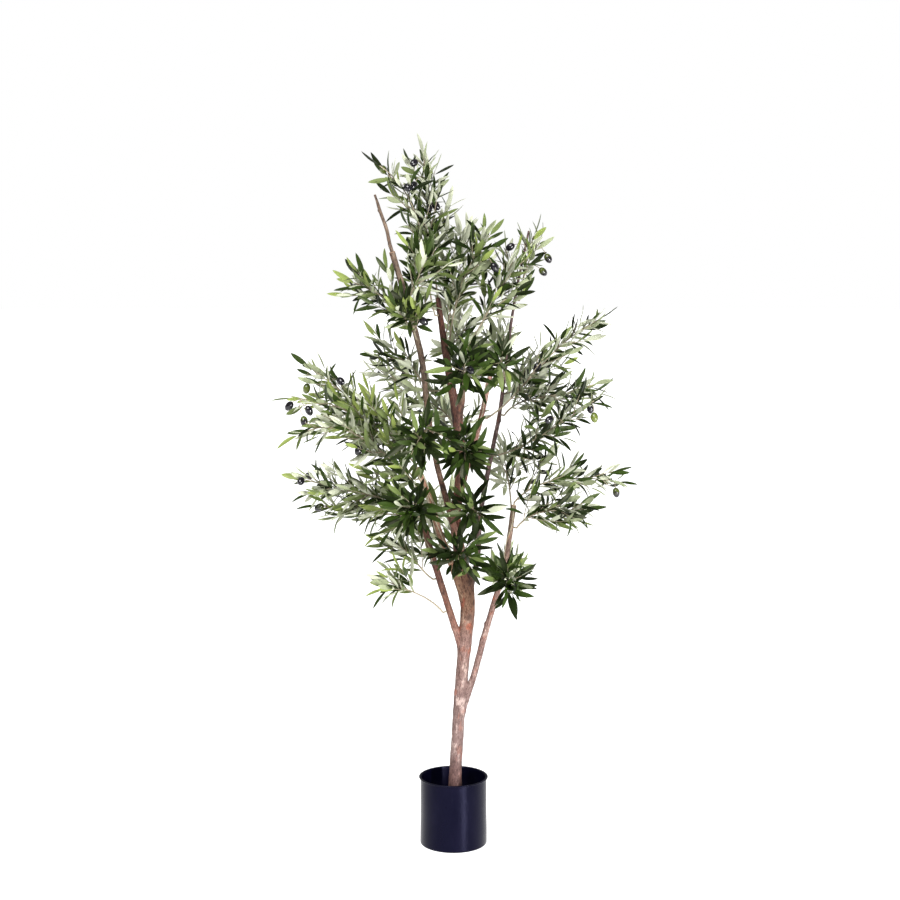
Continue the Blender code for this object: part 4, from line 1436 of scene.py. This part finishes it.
    def capped(self, skin: Array, rows: Array, along: Array, values: dict[str, Array]) -> Surface:
        """A limb's skin closed by flat cut ends with a worn edge.

        Each end gets a ring in the plane of the cut, drawn in by the bevel, and a middle point.

        Args:
            skin: The skin's points, (rings, sides, 3).
            rows: The path's rows.
            along: The path's directions.
            values: The skin's values by name.

        Returns:
            The closed surface, whose "cut" value is 1 on the cut ends.
        """
        inset = 1.0 - self.end_bevel / rows[[0, -1], 3]
        middles = rows[[0, -1], :3] + self.end_bevel * np.stack([-along[0], along[-1]])
        edges = middles[:, None] + inset[:, None, None] * (skin[[0, -1]] - rows[[0, -1], None, :3])
        sides = skin.shape[1]
        whole = {}
        for name, value in values.items():
            padded = np.concatenate([value[:1], value, value[-1:]]).reshape(-1, *value.shape[2:])
            whole[name] = np.concatenate([padded, value[[0, -1]].mean(axis=1)])
        cut = np.zeros(len(whole["tone"]))
        cut[:sides] = cut[-sides - 2 :] = 1.0
        grid = np.concatenate([edges[:1], skin, edges[1:]])
        return closed_tubes(grid[None], middles[None], values={**whole, "cut": cut})

    def dress(self) -> None:
        """Build every limb and fix it."""
        materials = {}
        for number, limb in enumerate(LIMBS):
            if limb.finish.name not in materials:
                materials[limb.finish.name] = limb.finish.material()
            skin = self.bark(limb, number)
            piece = skin.as_object(f"{limb.name}_bark", [materials[limb.finish.name]], sharp=50)
            settle(piece, [limb.name])


@dataclass
class LeafSet:
    """Many leaves, as arrays with one row to a leaf.

    Attributes:
        root: Where each leaf starts.
        aim: Its direction.
        face: The direction that its upper side faces.
        size: Its length and half width, in metres.
        bow: Its bend and twist: a share of its length, and radians.
        slot: Its upper and lower finish.
    """

    root: Array
    aim: Array
    face: Array
    size: Array
    bow: Array
    slot: Array

    @classmethod
    def joined(cls, sets: list["LeafSet"]) -> "LeafSet":
        """One set of several."""
        names = [part.name for part in fields(cls)]
        return cls(*(np.concatenate([getattr(leaves, name) for leaves in sets]) for name in names))

    def where(self, keep: Array) -> "LeafSet":
        """The leaves for which `keep` is true."""
        return LeafSet(*(getattr(self, part.name)[keep] for part in fields(self)))

    def spine(self, shares: tuple) -> Array:
        """Points on each leaf's midrib.

        The midrib runs along the aim, bends toward the face by the bow times the square of the
        share, and swings sideways by the twist times the sickle times the same square.

        Args:
            shares: Shares of the leaf's length.

        Returns:
            The points, (leaves, shares, 3).
        """
        share = np.array(shares)[None, :, None]
        side = np.cross(self.face, self.aim)[:, None]
        bend = self.bow[:, :1, None] * self.face[:, None] + SICKLE * self.bow[:, 1:, None] * side
        return self.root[:, None] + self.size[:, :1, None] * (share * self.aim[:, None] + share**2 * bend)


@dataclass
class LeafShape:
    """The narrow leaf: a stalk, a blade widest near its middle and a pointed tip.

    Attributes:
        stations: The shares of the length where the outline is set.
        fold: The rise of the blade's halves from the midrib, over their width.
        puff: How much each half of the blade arches.
        rib: The midrib's depth under the blade.
        fade: The share of its width at which the blade has its full puff and rib.
        stalk: The stalk's half width, as a share of the blade's.
        stalk_end: The share of the length where the blade starts.
        forward: The power of the share along the blade, which sets its widest place.
        full: The power of the sine, which sets how full the outline is.
    """

    stations: tuple = (0.0, 0.06, 0.12, 0.24, 0.40, 0.58, 0.75, 0.89)
    fold: float = 0.22
    puff: float = 0.0004
    rib: float = 0.0007
    fade: float = 0.25
    stalk: float = 0.10
    stalk_end: float = 0.07
    forward: float = 0.92
    full: float = 0.7

    def half_width(self, share: Array) -> Array:
        """The blade's half width as a share of its greatest.

        It is the sine of half a turn over the blade, and never less than the stalk, which
        narrows toward the tip. The share along the blade and the sine are each raised to a power.

        Args:
            share: Shares of the leaf's length.

        Returns:
            The half widths.
        """
        blade = np.clip((share - self.stalk_end) / (1.0 - self.stalk_end), 0.0, 1.0)
        outline = np.sin(math.pi * blade**self.forward) ** self.full
        return np.maximum(outline, self.stalk * (1.0 - 0.5 * share))

    def surface(self, leaves: LeafSet) -> Surface:
        """All the leaves of a set, each a closed body of six sides.

        A point is the midrib's, plus the half width times the side's place across, plus a lift
        on the face's axis: the fold times the distance from the midrib, plus the puff between
        midrib and edge, less the rib underneath. The axes turn along the leaf by its twist.

        Args:
            leaves: The leaves.

        Returns:
            The surface, with each leaf's upper and lower finish.
        """
        share = np.array(self.stations)
        across = np.array([1.0, 0.5, 0.0, -0.5, -1.0, 0.0])
        arch = np.array([0.0, self.puff, 0.0, self.puff, 0.0, -self.rib])
        count, stations, sides = len(leaves.root), len(share), len(across)
        width = self.half_width(share)
        x = leaves.size[:, 1, None, None] * width[:, None] * across
        z = self.fold * np.abs(x) + arch * np.minimum(1.0, width / self.fade)[:, None]
        twist = (leaves.bow[:, 1:] * share)[..., None]
        side, face = np.cross(leaves.face, leaves.aim)[:, None, None], leaves.face[:, None, None]
        skin = leaves.spine(self.stations)[:, :, None] + x[..., None] * swung((side, face), twist)
        skin = skin + z[..., None] * swung((face, -side), twist)
        points = np.vstack([skin.reshape(-1, 3), leaves.spine((1.0,))[:, 0]])
        leaf, place = np.meshgrid(np.arange(count), np.arange(sides), indexing="ij")
        last, tip = (leaf * stations + stations - 1) * sides, count * stations * sides + leaf
        fans = np.stack([tip, last + place, last + (place + 1) % sides], axis=-1)
        corner = np.arange(sides - 1, 1, -1)
        roots = leaf[:, :1, None] * stations * sides + np.stack([0 * corner, corner, corner - 1], axis=-1)
        tip_slots = np.where(place < sides - 2, leaves.slot[:, :1], leaves.slot[:, 1:])
        quad_slots = np.repeat(tip_slots[:, None, :], stations - 1, axis=1)
        root_slots = np.repeat(leaves.slot[:, 1], len(corner))
        slots = np.concatenate([quad_slots.ravel(), tip_slots.ravel(), root_slots])
        triangles = np.concatenate([fans.reshape(-1, 3), roots.reshape(-1, 3)])
        return Surface(points, ring_quads(count, stations, sides), triangles, slots, {})


@dataclass(frozen=True)
class Habit:
    """How the sprays of one region are leaved.

    Attributes:
        twigs_per_twig: Side twigs for each one of the solid's.
        extra_twigs: Side twigs besides.
        leaf_length: The length of a leaf near the foot of a wire.
        slimness: Half a leaf's width over its length.
        pair_spacing: The distance between two pairs of leaves.
        brightness: How far the upper sides lean to the lighter tints. In the left region this is painted
            light: its lighter tints make up for the shade that the sprays above cast there.
        turned_over: The share of the leaves that hang with their undersides up.
    """

    twigs_per_twig: int
    extra_twigs: int
    leaf_length: float
    slimness: float
    pair_spacing: float
    brightness: float
    turned_over: float


TOP_HABIT = Habit(2, 5, 0.063, 0.110, 0.0180, 0.07, 0.10)
RIGHT_HABIT = Habit(2, 5, 0.063, 0.110, 0.0180, -0.10, 0.06)
# The left region's lean to lighter tints is painted light, making up for the shade that the sprays above cast
# on its leaves.
LEFT_HABIT = Habit(2, 5, 0.063, 0.110, 0.0180, 0.36, 0.32)
FRONT_HABIT = Habit(2, 3, 0.074, 0.094, 0.0190, -0.18, 0.02)
REAR_HABIT = Habit(2, 3, 0.061, 0.104, 0.0190, 0.06, 0.12)
HABITS = {TOP: TOP_HABIT, RIGHT: RIGHT_HABIT, LEFT: LEFT_HABIT, FRONT: FRONT_HABIT, REAR: REAR_HABIT}


@dataclass
class Leafing:
    """The rule by which a wire bears its leaves, in pairs that each turn a quarter from the last.

    Attributes:
        angle: How far a leaf turns from its wire.
        closing: That angle's share at the wire's foot, and its loss by the tip.
        sink: How deep a leaf is rooted, as a share of the wire's radius.
        crown_middle: The upright line that the upper sides turn away from.
        face_outward: How much they turn away, for each metre from it.
        outward_limit: The most that they turn away.
        face_upward: How much they turn up.
        shortening: A leaf's length at the wire's foot, in the habit's, and its loss by the tip.
        lengths: The range of lengths, in the same.
        widths: The range of widths, in the habit's.
        bends: The range of bows, as shares of the length.
        twists: The range of twists, in radians.
        tint_spread: How much the leaves of one wire differ in tint.
        tip_light: How much lighter the leaves are drawn over the last fifth of a wire.
        tint_steps: The draws under which a leaf is deep, dark and fresh. The rest are young.
        young_from: The share of a wire before which no leaf is young.
        silver_share: The share of the undersides that are silver.
    """

    angle: float = math.radians(44)
    closing: tuple = (1.12, 0.45)
    sink: float = 0.4
    crown_middle: tuple = (0.0, 0.07, 0.0)
    face_outward: float = 5.0
    outward_limit: float = 0.8
    face_upward: float = 0.3
    shortening: tuple = (1.05, 0.30)
    lengths: tuple = (0.72, 1.12)
    widths: tuple = (0.85, 1.15)
    bends: tuple = (-0.34, 0.10)
    twists: tuple = (-0.5, 0.5)
    tint_spread: float = 0.94
    tip_light: float = 0.16
    tint_steps: tuple = (0.36, 0.74, 0.97)
    young_from: float = 0.7
    silver_share: float = 0.6

    def tints(self, place: Array, habit: Habit, rng: np.random.Generator) -> Array:
        """The finishes of a wire's leaves, lighter toward its tip.

        Args:
            place: The fraction of the wire where each leaf is.
            habit: How light the region's leaves are drawn, with painted light in the left region.
            rng: The source of the small differences.

        Returns:
            The upper and the lower finish, (leaves, 2).
        """
        draw = rng.random(len(place)) * self.tint_spread + self.tip_light * (place > 0.8)
        draw = draw + rng.uniform(-0.1, 0.14) + habit.brightness
        draw = np.where(place > self.young_from, draw, np.minimum(draw, self.tint_steps[2] - 0.01))
        tints = [Tint.DEEP.value, Tint.DARK.value, Tint.FRESH.value]
        upper = np.select([draw < step for step in self.tint_steps], tints, Tint.YOUNG.value)
        silver = rng.random(len(place)) < self.silver_share
        return np.column_stack([upper, np.where(silver, Underside.SILVER.value, Underside.SAGE.value)])

    def leaves(
        self, wire: Path, bare: float, tip_leaf: float, habit: Habit, rng: np.random.Generator
    ) -> LeafSet:
        """The leaves of one wire: pairs, each turned a quarter from the last, and one at the tip.

        A leaf leaves the wire at the leaf angle, less toward the tip, and faces the tip, the
        crown's outside and the sky. Its length falls with the cube of its place on the wire.

        Args:
            wire: The stem or twig.
            bare: The first fraction of it, which has no leaves.
            tip_leaf: The length of the leaf at its tip.
            habit: How large and how close the leaves are.
            rng: The source of the small differences.

        Returns:
            The leaves.
        """
        pairs = max(1, round((1 - bare) * wire.length / habit.pair_spacing))
        place = bare + (1 - bare) * (np.arange(pairs) + 0.3) / pairs
        place = np.append(np.repeat(place, 2), 1.0)
        rows, along = wire.at(place)
        count = len(place)
        roll = rng.uniform(0.0, math.tau) + np.cumsum(math.pi / 2 + rng.uniform(-0.35, 0.35, pairs))
        roll = np.append(np.repeat(roll, 2) + math.pi * (np.arange(2 * pairs) % 2), roll[-1])
        roll += rng.uniform(-0.2, 0.2, count)
        angle = self.angle * (self.closing[0] - self.closing[1] * place) + rng.uniform(-0.25, 0.25, count)
        angle[-1] = rng.uniform(0.02, 0.15)
        side = swung(level_axes(along), roll)
        root = rows[:, :3] + self.sink * rows[:, 3:] * side
        aim = swung((along, side), angle)
        outward = self.face_outward * (root - np.array(self.crown_middle)) * (1.0 - UP)
        outward *= np.minimum(1.0, self.outward_limit / np.linalg.norm(outward, axis=1))[:, None]
        face, _ = square_axes(aim, unit(along + outward + self.face_upward * UP))
        length = habit.leaf_length * (self.shortening[0] - self.shortening[1] * place**3)
        length = length * rng.uniform(*self.lengths, count)
        length[-1] = tip_leaf
        face = np.where(rng.random(count) < habit.turned_over, -1.0, 1.0)[:, None] * face
        size = np.column_stack([length, length * habit.slimness * rng.uniform(*self.widths, count)])
        bow = np.column_stack([rng.uniform(*self.bends, count), rng.uniform(*self.twists, count)])
        bow[-1, 1] = 0.0
        return LeafSet(root, aim, face, size, bow, self.tints(place, habit, rng))


@dataclass
class Fruit:
    """The olives, each hung from a stem by its own stalk.

    Attributes:
        stems: Every spray's stem, by the spray's name.
        window: How far leaves keep from an olive, and how deep the gap before it is.
        fall: How steeply an olive hangs, for a stalk that leads out by one.
        seat: How far a stalk runs into its olive.
        stalk_radius: A stalk's radius.
        stalk_rings: Rings of a stalk.
        sides: Sides of an olive.
        rings: Rings of an olive.
    """

    stems: dict[str, Path]
    window: tuple = (0.013, 0.100)
    fall: float = 0.9
    seat: float = 0.0015
    stalk_radius: float = 0.0009
    stalk_rings: int = 7
    sides: int = 20
    rings: int = 14

    def __post_init__(self) -> None:
        """Hang every olive, and keep the tops, the directions, the ripeness and the stalks."""
        hung = [self.hang(self.stems[spray.name], olive) for spray in SPRAYS for olive in spray.olives]
        self.tops, self.downs, self.stalks = (np.stack(parts) for parts in zip(*hung))
        self.ripeness = np.array([olive.ripeness.value for spray in SPRAYS for olive in spray.olives])

    def hang(self, stem: Path, olive: Olive) -> tuple[Array, Array, Array]:
        """Hang one olive from its stem.

        The stalk is a square curve from the stem to the olive's top, drawn toward a point that
        lies out and along the stem.

        Args:
            stem: The stem.
            olive: The olive.

        Returns:
            The olive's top, the direction its tip hangs in, and its stalk's rows (x, y, z, radius).
        """
        row, along = stem.at(olive.at)
        foot, out = row[0, :3], heading(olive.bearing, olive.rise)
        down = unit(out - self.fall * UP)
        top = foot + olive.stalk * out
        bend = foot + 0.6 * olive.stalk * unit(out + 0.6 * along[0])
        s = np.linspace(0.0, 1.0, self.stalk_rings)[:, None]
        places = (1 - s) ** 2 * foot + 2 * s * (1 - s) * bend + s**2 * (top + self.seat * down)
        return top, down, np.column_stack([places, np.full(self.stalk_rings, self.stalk_radius)])

    def gap(self, points: Array) -> Array:
        """How far each point is from the nearest olive, or from the gap before it.

        The gap is the straight line from the olive's middle toward the front. A point's distance
        is taken from the nearest place on that line.

        Args:
            points: The points.

        Returns:
            One distance to a point.
        """
        offsets = points[:, None] - (self.tops + 0.5 * OLIVE_LENGTH * self.downs)
        ahead = np.clip(-offsets @ BACK, 0.0, self.window[1])
        return np.linalg.norm(offsets + ahead[..., None] * BACK, axis=2).min(axis=1)

    def surface(self) -> Surface:
        """The olives: ovals of revolution with a small nipple at the tip.

        With s from 0 at the stalk to 1 at the tip, the radius is half the width times the
        square root of one less the square of 2 s less 1, and the tip is drawn out a little.

        Returns:
            The surface, with the "blush" value s and each olive's finish.
        """
        s = 0.5 - 0.5 * np.cos(np.pi * (np.arange(self.rings) + 0.5) / self.rings)
        radius = 0.5 * OLIVE_WIDTH * np.sqrt(1 - (2 * s - 1) ** 2) * (1 + 0.05 * (0.5 - s))
        depth = OLIVE_LENGTH * (s + 0.03 * s**8)
        first, second = level_axes(self.downs)
        spokes = swung((first[:, None, None], second[:, None, None]), ring_angles(self.sides))
        middles = self.tops[:, None, None] + depth[:, None, None] * self.downs[:, None, None]
        skin = middles + radius[:, None, None] * spokes
        ends = np.stack([self.tops, self.tops + OLIVE_LENGTH * 1.03 * self.downs], axis=1)
        count = len(self.tops)
        blush = np.concatenate([np.tile(np.repeat(s, self.sides), count), np.tile([0.0, 1.0], count)])
        return closed_tubes(skin, ends, self.ripeness, {"blush": blush})

    def dress(self) -> None:
        """Build the olives and fix them."""
        skins = [finish.material() for finish in OLIVE_FINISHES]
        fruited = [spray.name for spray in SPRAYS if spray.olives]
        settle(self.surface().as_object("olives", skins), fruited)


@dataclass
class Foliage:
    """The sprays: wires that branch by the model's rule, with leaves in pairs and olives.

    Attributes:
        timber: The limbs that the sprays grow from.
        leafing: The rule for the leaves.
        limb_spacing: How finely the limbs are read to keep clear of them.
        stem_radii: A stem's radius at its foot and at its tip.
        twig_radii: A twig's radius at its foot and at its tip.
        stem_rings: Rings of a stem beyond its collar.
        twig_rings: Rings of a twig.
        stem_sides: Sides of a stem.
        wire_sides: Sides of a twig, a stalk or a strand.
        stem_collar: The straight start of a stem, square to its limb.
        seat_depth: How far a stem is sunk into its limb.
        leaving_share: The share of the reach over which a stem bends at its start.
        arriving_share: The same at its end.
        tip_leaf: The length of the leaf at a stem's tip.
        twig_angle: How far a twig turns from its stem.
        twig_bend: How much it bends back.
        twig_length: The length of a twig, times the shortening less its fraction of the stem.
        twig_shortening: That shortening.
        twig_lengths: The range of shares of that length.
        twig_bare: The first fraction of a twig, which has no leaves.
        twig_tip: The length of the leaf at a twig's tip, in the habit's.
        golden_angle: How far round the stem each try for a twig turns.
        twig_tries: How many tries a twig has.
        last_twig: The last fraction of a stem that bears a twig.
        limb_margin: How far a twig keeps from the limbs.
        twig_margin: How far a twig keeps from the stems of other sprays.
        leaf_margin: How far a leaf's midrib keeps from the limbs.
        watched: The shares of a leaf's length that keep clear of limbs and olives.
        cut_short: The share that is left of a leaf whose tip would leave the model's box.
        strand_rings: Rings of a strand.
        strand_radius: A strand's radius.
        strand_lift: How far its middle lies above the bark.
    """

    timber: Timber
    leafing: Leafing
    limb_spacing: float = 0.005
    stem_radii: tuple = (0.0024, 0.0013)
    twig_radii: tuple = (0.0014, 0.0008)
    stem_rings: int = 24
    twig_rings: int = 9
    stem_sides: int = 8
    wire_sides: int = 6
    stem_collar: float = 0.008
    seat_depth: float = 0.003
    leaving_share: float = 0.25
    arriving_share: float = 0.35
    tip_leaf: float = 0.0595
    twig_angle: float = math.radians(42)
    twig_bend: float = 0.6
    twig_length: float = 0.095
    twig_shortening: float = 1.3
    twig_lengths: tuple = (0.6, 1.2)
    twig_bare: float = 0.14
    twig_tip: float = 0.8
    golden_angle: float = math.radians(137.5)
    twig_tries: int = 8
    last_twig: float = 0.92
    limb_margin: float = 0.003
    twig_margin: float = 0.008
    leaf_margin: float = 0.0015
    watched: tuple = (0.35, 0.7, 1.0)
    cut_short: float = 0.85
    strand_rings: int = 48
    strand_radius: float = 0.0013
    strand_lift: float = 0.0013

    def __post_init__(self) -> None:
        """Gather the limbs' rows, lay out every stem and hang the olives."""
        paths = self.timber.paths.values()
        self.limb_rows = np.vstack([path.evenly(self.limb_spacing).rows for path in paths])
        self.stems = {spray.name: self.stem(spray) for spray in SPRAYS}
        self.fruit = Fruit(self.stems)
        self.wires: dict[str, list[Path]] = {}
        self.leaves: dict[str, LeafSet] = {}

    def stem(self, spray: Spray) -> Path:
        """A stem's path: a collar square to its limb, then a cubic that ends at the tip leaf.

        Args:
            spray: The spray.

        Returns:
            The path, sunk a little into the limb.
        """
        rows, along = self.timber.paths[spray.limb].at(spray.at)
        row, along = rows[0], along[0]
        aim = heading(spray.bearing, spray.rise)
        if spray.at >= 1:
            outward = along
            foot = row[:3] + CLEARANCE * outward
        else:
            outward = unit(aim - (aim @ along) * along)
            foot = row[:3] + (row[3] + CLEARANCE) * outward
        arrival = heading(spray.bearing, spray.rise + spray.curl)
        collar = foot + self.stem_collar * outward
        tip = foot + spray.reach * aim - self.tip_leaf * arrival
        leaving = collar + self.leaving_share * spray.reach * unit(aim + spray.lean * along)
        arriving = tip - self.arriving_share * spray.reach * arrival
        s = np.linspace(0.0, 1.0, self.stem_rings)[:, None]
        first_half = (1 - s) ** 3 * collar + 3 * (1 - s) ** 2 * s * leaving
        second_half = 3 * (1 - s) * s**2 * arriving + s**3 * tip
        places = np.vstack([foot - self.seat_depth * outward, foot, first_half + second_half])
        return Path(np.column_stack([places, np.linspace(*self.stem_radii, len(places))]))

    def twig(self, foot: Array, along: Array, side: Array, length: float) -> Path:
        """A side twig: it leaves its stem at an angle and bends back along it.

        Args:
            foot: Where it starts.
            along: The stem's direction there.
            side: The side that it leaves to, square to the stem.
            length: Its length.

        Returns:
            The path.
        """
        start = math.cos(self.twig_angle) * along + math.sin(self.twig_angle) * side
        bend = unit(start + self.twig_bend * along) - start
        s = np.linspace(0.0, 1.0, self.twig_rings)[:, None]
        places = foot + length * (s * start + 0.5 * s**2 * bend)
        return Path(np.column_stack([places, np.linspace(*self.twig_radii, len(places))]))

    def twigs(self, spray: Spray, stem: Path, habit: Habit, rng: np.random.Generator) -> list[Path]:
        """A spray's side twigs: each leaves the stem on another side, where there is room.

        Args:
            spray: The spray.
            stem: Its stem.
            habit: How many twigs it has.
            rng: The source of the small differences.

        Returns:
            The twigs' paths.
        """
        count = round(spray.fullness * (habit.twigs_per_twig * spray.twigs + habit.extra_twigs))
        others = np.vstack([other.rows[2:, :3] for name, other in self.stems.items() if name != spray.name])
        roll = rng.uniform(0.0, math.tau)
        made = []
        for k in range(count):
            fraction = spray.bare + (self.last_twig - spray.bare) * (k + rng.uniform(0.0, 0.4)) / count
            row, along = stem.at(fraction)
            axes = level_axes(along)
            length = self.twig_length * (self.twig_shortening - fraction) * rng.uniform(*self.twig_lengths)
            for _ in range(self.twig_tries):
                roll += self.golden_angle
                path = self.twig(row[0, :3], along[0], swung(axes, roll)[0], length)
                points = path.rows[:, :3]
                if skin_gap(points, self.limb_rows).min() < self.limb_margin:
                    continue
                if nearest(points, others).min() > self.twig_margin:
                    made.append(path)
                    break
        return made

    def grow(self, spray: Spray, number: int) -> None:
        """Grow a spray's twigs, and the leaves that keep clear of the limbs and the olives.

        Args:
            spray: The spray.
            number: Its place in the list, for the random values.
        """
        rng = np.random.default_rng([SEED, number, spray.seed])
        stem, habit = self.stems[spray.name], HABITS[spray.region]
        twigs = self.twigs(spray, stem, habit, rng)
        sets = [self.leafing.leaves(stem, spray.bare, self.tip_leaf, habit, rng)]
        for twig in twigs:
            tip_leaf = self.twig_tip * habit.leaf_length
            sets.append(self.leafing.leaves(twig, self.twig_bare, tip_leaf, habit, rng))
        leaves = LeafSet.joined(sets)
        tips = leaves.spine((1.0,))[:, 0]
        beyond = ((tips < np.array(CAD_BOX[0])) | (tips > np.array(CAD_BOX[1]))).any(axis=1)
        leaves.size[beyond, 0] *= self.cut_short
        spine = leaves.spine(self.watched).reshape(-1, 3)
        off_limbs = skin_gap(spine, self.limb_rows) > self.leaf_margin
        clear = off_limbs & (self.fruit.gap(spine) > self.fruit.window[0])
        self.wires[spray.name] = [stem, *twigs]
        self.leaves[spray.name] = leaves.where(clear.reshape(-1, len(self.watched)).all(axis=1))

    def strand_rows(self) -> Array:
        """The strands' paths: beside the limb's, on a spoke that wanders by one wave.

        Returns:
            Rows (strands, rings, 4).
        """
        made = []
        for strand in STRANDS:
            share = np.linspace(strand.start, 1.0, self.strand_rings)
            rows, along = self.timber.paths[strand.limb].at(share)
            wave = np.sin(math.tau * (share - strand.start) / (1.0 - strand.start))
            spokes = swung(square_axes(along, BACK), np.radians(strand.turn + strand.drift * wave))
            places = rows[:, :3] + (rows[:, 3:] + self.strand_lift) * spokes
            made.append(np.column_stack([places, np.full(len(share), self.strand_radius)]))
        return np.stack(made)

    def dress(self) -> None:
        """Grow every spray, build the olives, the wires and each region's leaves, and fix them."""
        for number, spray in enumerate(SPRAYS):
            self.grow(spray, number)
        self.fruit.dress()
        names = [spray.name for spray in SPRAYS]
        stems = np.stack([self.wires[name][0].rows for name in names])
        twigs = np.stack([twig.rows for name in names for twig in self.wires[name][1:]])
        paths = (twigs, self.fruit.stalks, self.strand_rows())
        thin = [tube_surface(rows, self.wire_sides) for rows in paths]
        tubes = Surface.joined([tube_surface(stems, self.stem_sides), *thin])
        wires = tubes.as_object("wires", [WIRE_FINISH.material()], sharp=60)
        settle(wires, names)
        shape = LeafShape()
        sides = [finish.material() for finish in LEAF_FINISHES]
        for region in Region:
            here = [spray.name for spray in SPRAYS if spray.region is region]
            leaves = LeafSet.joined([self.leaves[name] for name in here])
            piece = shape.surface(leaves).as_object(f"{region.value}_leaves", sides, sharp=65)
            log.info("%s: %d leaves", piece.name, len(leaves.root))
            settle(piece, here)


@dataclass
class Studio:
    """The plain pale floor, the soft lights and the camera.

    Attributes:
        camera_place: Where the photograph was taken from.
        camera_tilt: How far the camera looks down, in degrees.
        lens: The focal length in millimetres, for a picture as wide as the sensor.
        sensor: The sensor's width in millimetres.
        sight: How far the camera sees.
        floor_size: The side of the floor.
        white: The floor's colour.
        floor_glow: How much light the floor gives off itself, so that it stays blank under the tree.
        surround: How bright the white surround looks, and how much it lights the tree.
        daylight: The strength and the angular width, in degrees, of the broad soft light.
        daylight_from: The direction that it comes from.
        strip_place: Where the upright strip light stands.
        strip_target: What it points to.
        strip_size: Its width and height.
        strip_power: Its power in watts.
    """

    camera_place: tuple = (-0.0087, -4.2, 1.507)
    camera_tilt: float = 6.69
    lens: float = 67.64
    sensor: float = 36.0
    sight: float = 200.0
    floor_size: float = 80.0
    white: Colour = (0.60, 0.60, 0.60)
    floor_glow: float = 0.78
    surround: tuple = (1.0, 0.27)
    daylight: tuple = (4.3, 30.0)
    daylight_from: tuple = (-0.30, -0.62, 0.82)
    strip_place: tuple = (2.15, -3.0, 0.72)
    strip_target: tuple = (0.0, 0.0, 0.3)
    strip_size: tuple = (0.10, 1.4)
    strip_power: float = 190.0

    def floor(self) -> None:
        """A level pale floor."""
        half = 0.5 * self.floor_size
        points = np.array([(-half, -half, 0.0), (half, -half, 0.0), (half, half, 0.0), (-half, half, 0.0)])
        no_triangles = np.empty((0, 3), dtype=int)
        sheet = Surface(points, np.array([(0, 1, 2, 3)]), no_triangles, np.zeros(1, dtype=int), {})
        g = Graph("pale floor")
        g.put(g.shader, {"Base Color": self.white, "Roughness": 1.0, "Specular IOR Level": 0.0})
        g.put(g.shader, {"Emission Color": (1.0, 1.0, 1.0), "Emission Strength": self.floor_glow})
        sheet.as_object("floor", [g.material])

    def lamp(self, name: str, kind: str, place: tuple, target: tuple) -> bpy.types.Light:
        """A lamp at a place, turned to a target.

        Args:
            name: Its name.
            kind: Its kind, as Blender names it.
            place: Where it stands.
            target: What it points to.

        Returns:
            The light's data, ready for its size and power.
        """
        data = bpy.data.lights.new(name, kind)
        lamp = bpy.data.objects.new(name, data)
        bpy.context.scene.collection.objects.link(lamp)
        lamp.location = place
        toward = unit(np.array(target) - np.array(place))
        level = math.hypot(toward[0], toward[1])
        lamp.rotation_euler = (math.atan2(level, -toward[2]), 0.0, math.atan2(-toward[0], toward[1]))
        return data

    def sky(self) -> None:
        """A white surround that lights the tree less brightly than it looks."""
        world = bpy.data.worlds.new("white surround")
        world.use_nodes = True
        nodes, links = world.node_tree.nodes, world.node_tree.links
        rays = nodes.new("ShaderNodeLightPath")
        spread = nodes.new("ShaderNodeMapRange")
        spread.inputs["To Min"].default_value = self.surround[1]
        spread.inputs["To Max"].default_value = self.surround[0]
        links.new(rays.outputs["Is Camera Ray"], spread.inputs["Value"])
        nodes["Background"].inputs["Color"].default_value = (1.0, 1.0, 1.0, 1.0)
        links.new(spread.outputs["Result"], nodes["Background"].inputs["Strength"])
        bpy.context.scene.world = world

    def build(self) -> None:
        """Set up the floor, the sky, the lights and the camera."""
        scene = bpy.context.scene
        scene.view_settings.view_transform = "Standard"
        self.floor()
        self.sky()
        sun = self.lamp("broad daylight", "SUN", self.daylight_from, (0.0, 0.0, 0.0))
        sun.energy, sun.angle = self.daylight[0], math.radians(self.daylight[1])
        strip = self.lamp("right strip light", "AREA", self.strip_place, self.strip_target)
        strip.shape, strip.energy = "RECTANGLE", self.strip_power
        strip.size, strip.size_y = self.strip_size
        data = bpy.data.cameras.new("camera")
        data.lens, data.sensor_width, data.clip_end = self.lens, self.sensor, self.sight
        camera = bpy.data.objects.new("camera", data)
        scene.collection.objects.link(camera)
        camera.location = self.camera_place
        camera.rotation_euler = (math.radians(90.0 - self.camera_tilt), 0.0, 0.0)
        scene.camera = camera


def main() -> None:
    """Set up the studio and dress the whole tree."""
    logging.basicConfig(level=logging.INFO, format="%(name)s: %(message)s")
    Studio().build()
    Pot().dress()
    Fill().dress()
    timber = Timber()
    timber.dress()
    Foliage(timber, Leafing()).dress()


if __name__ == "__main__":
    main()
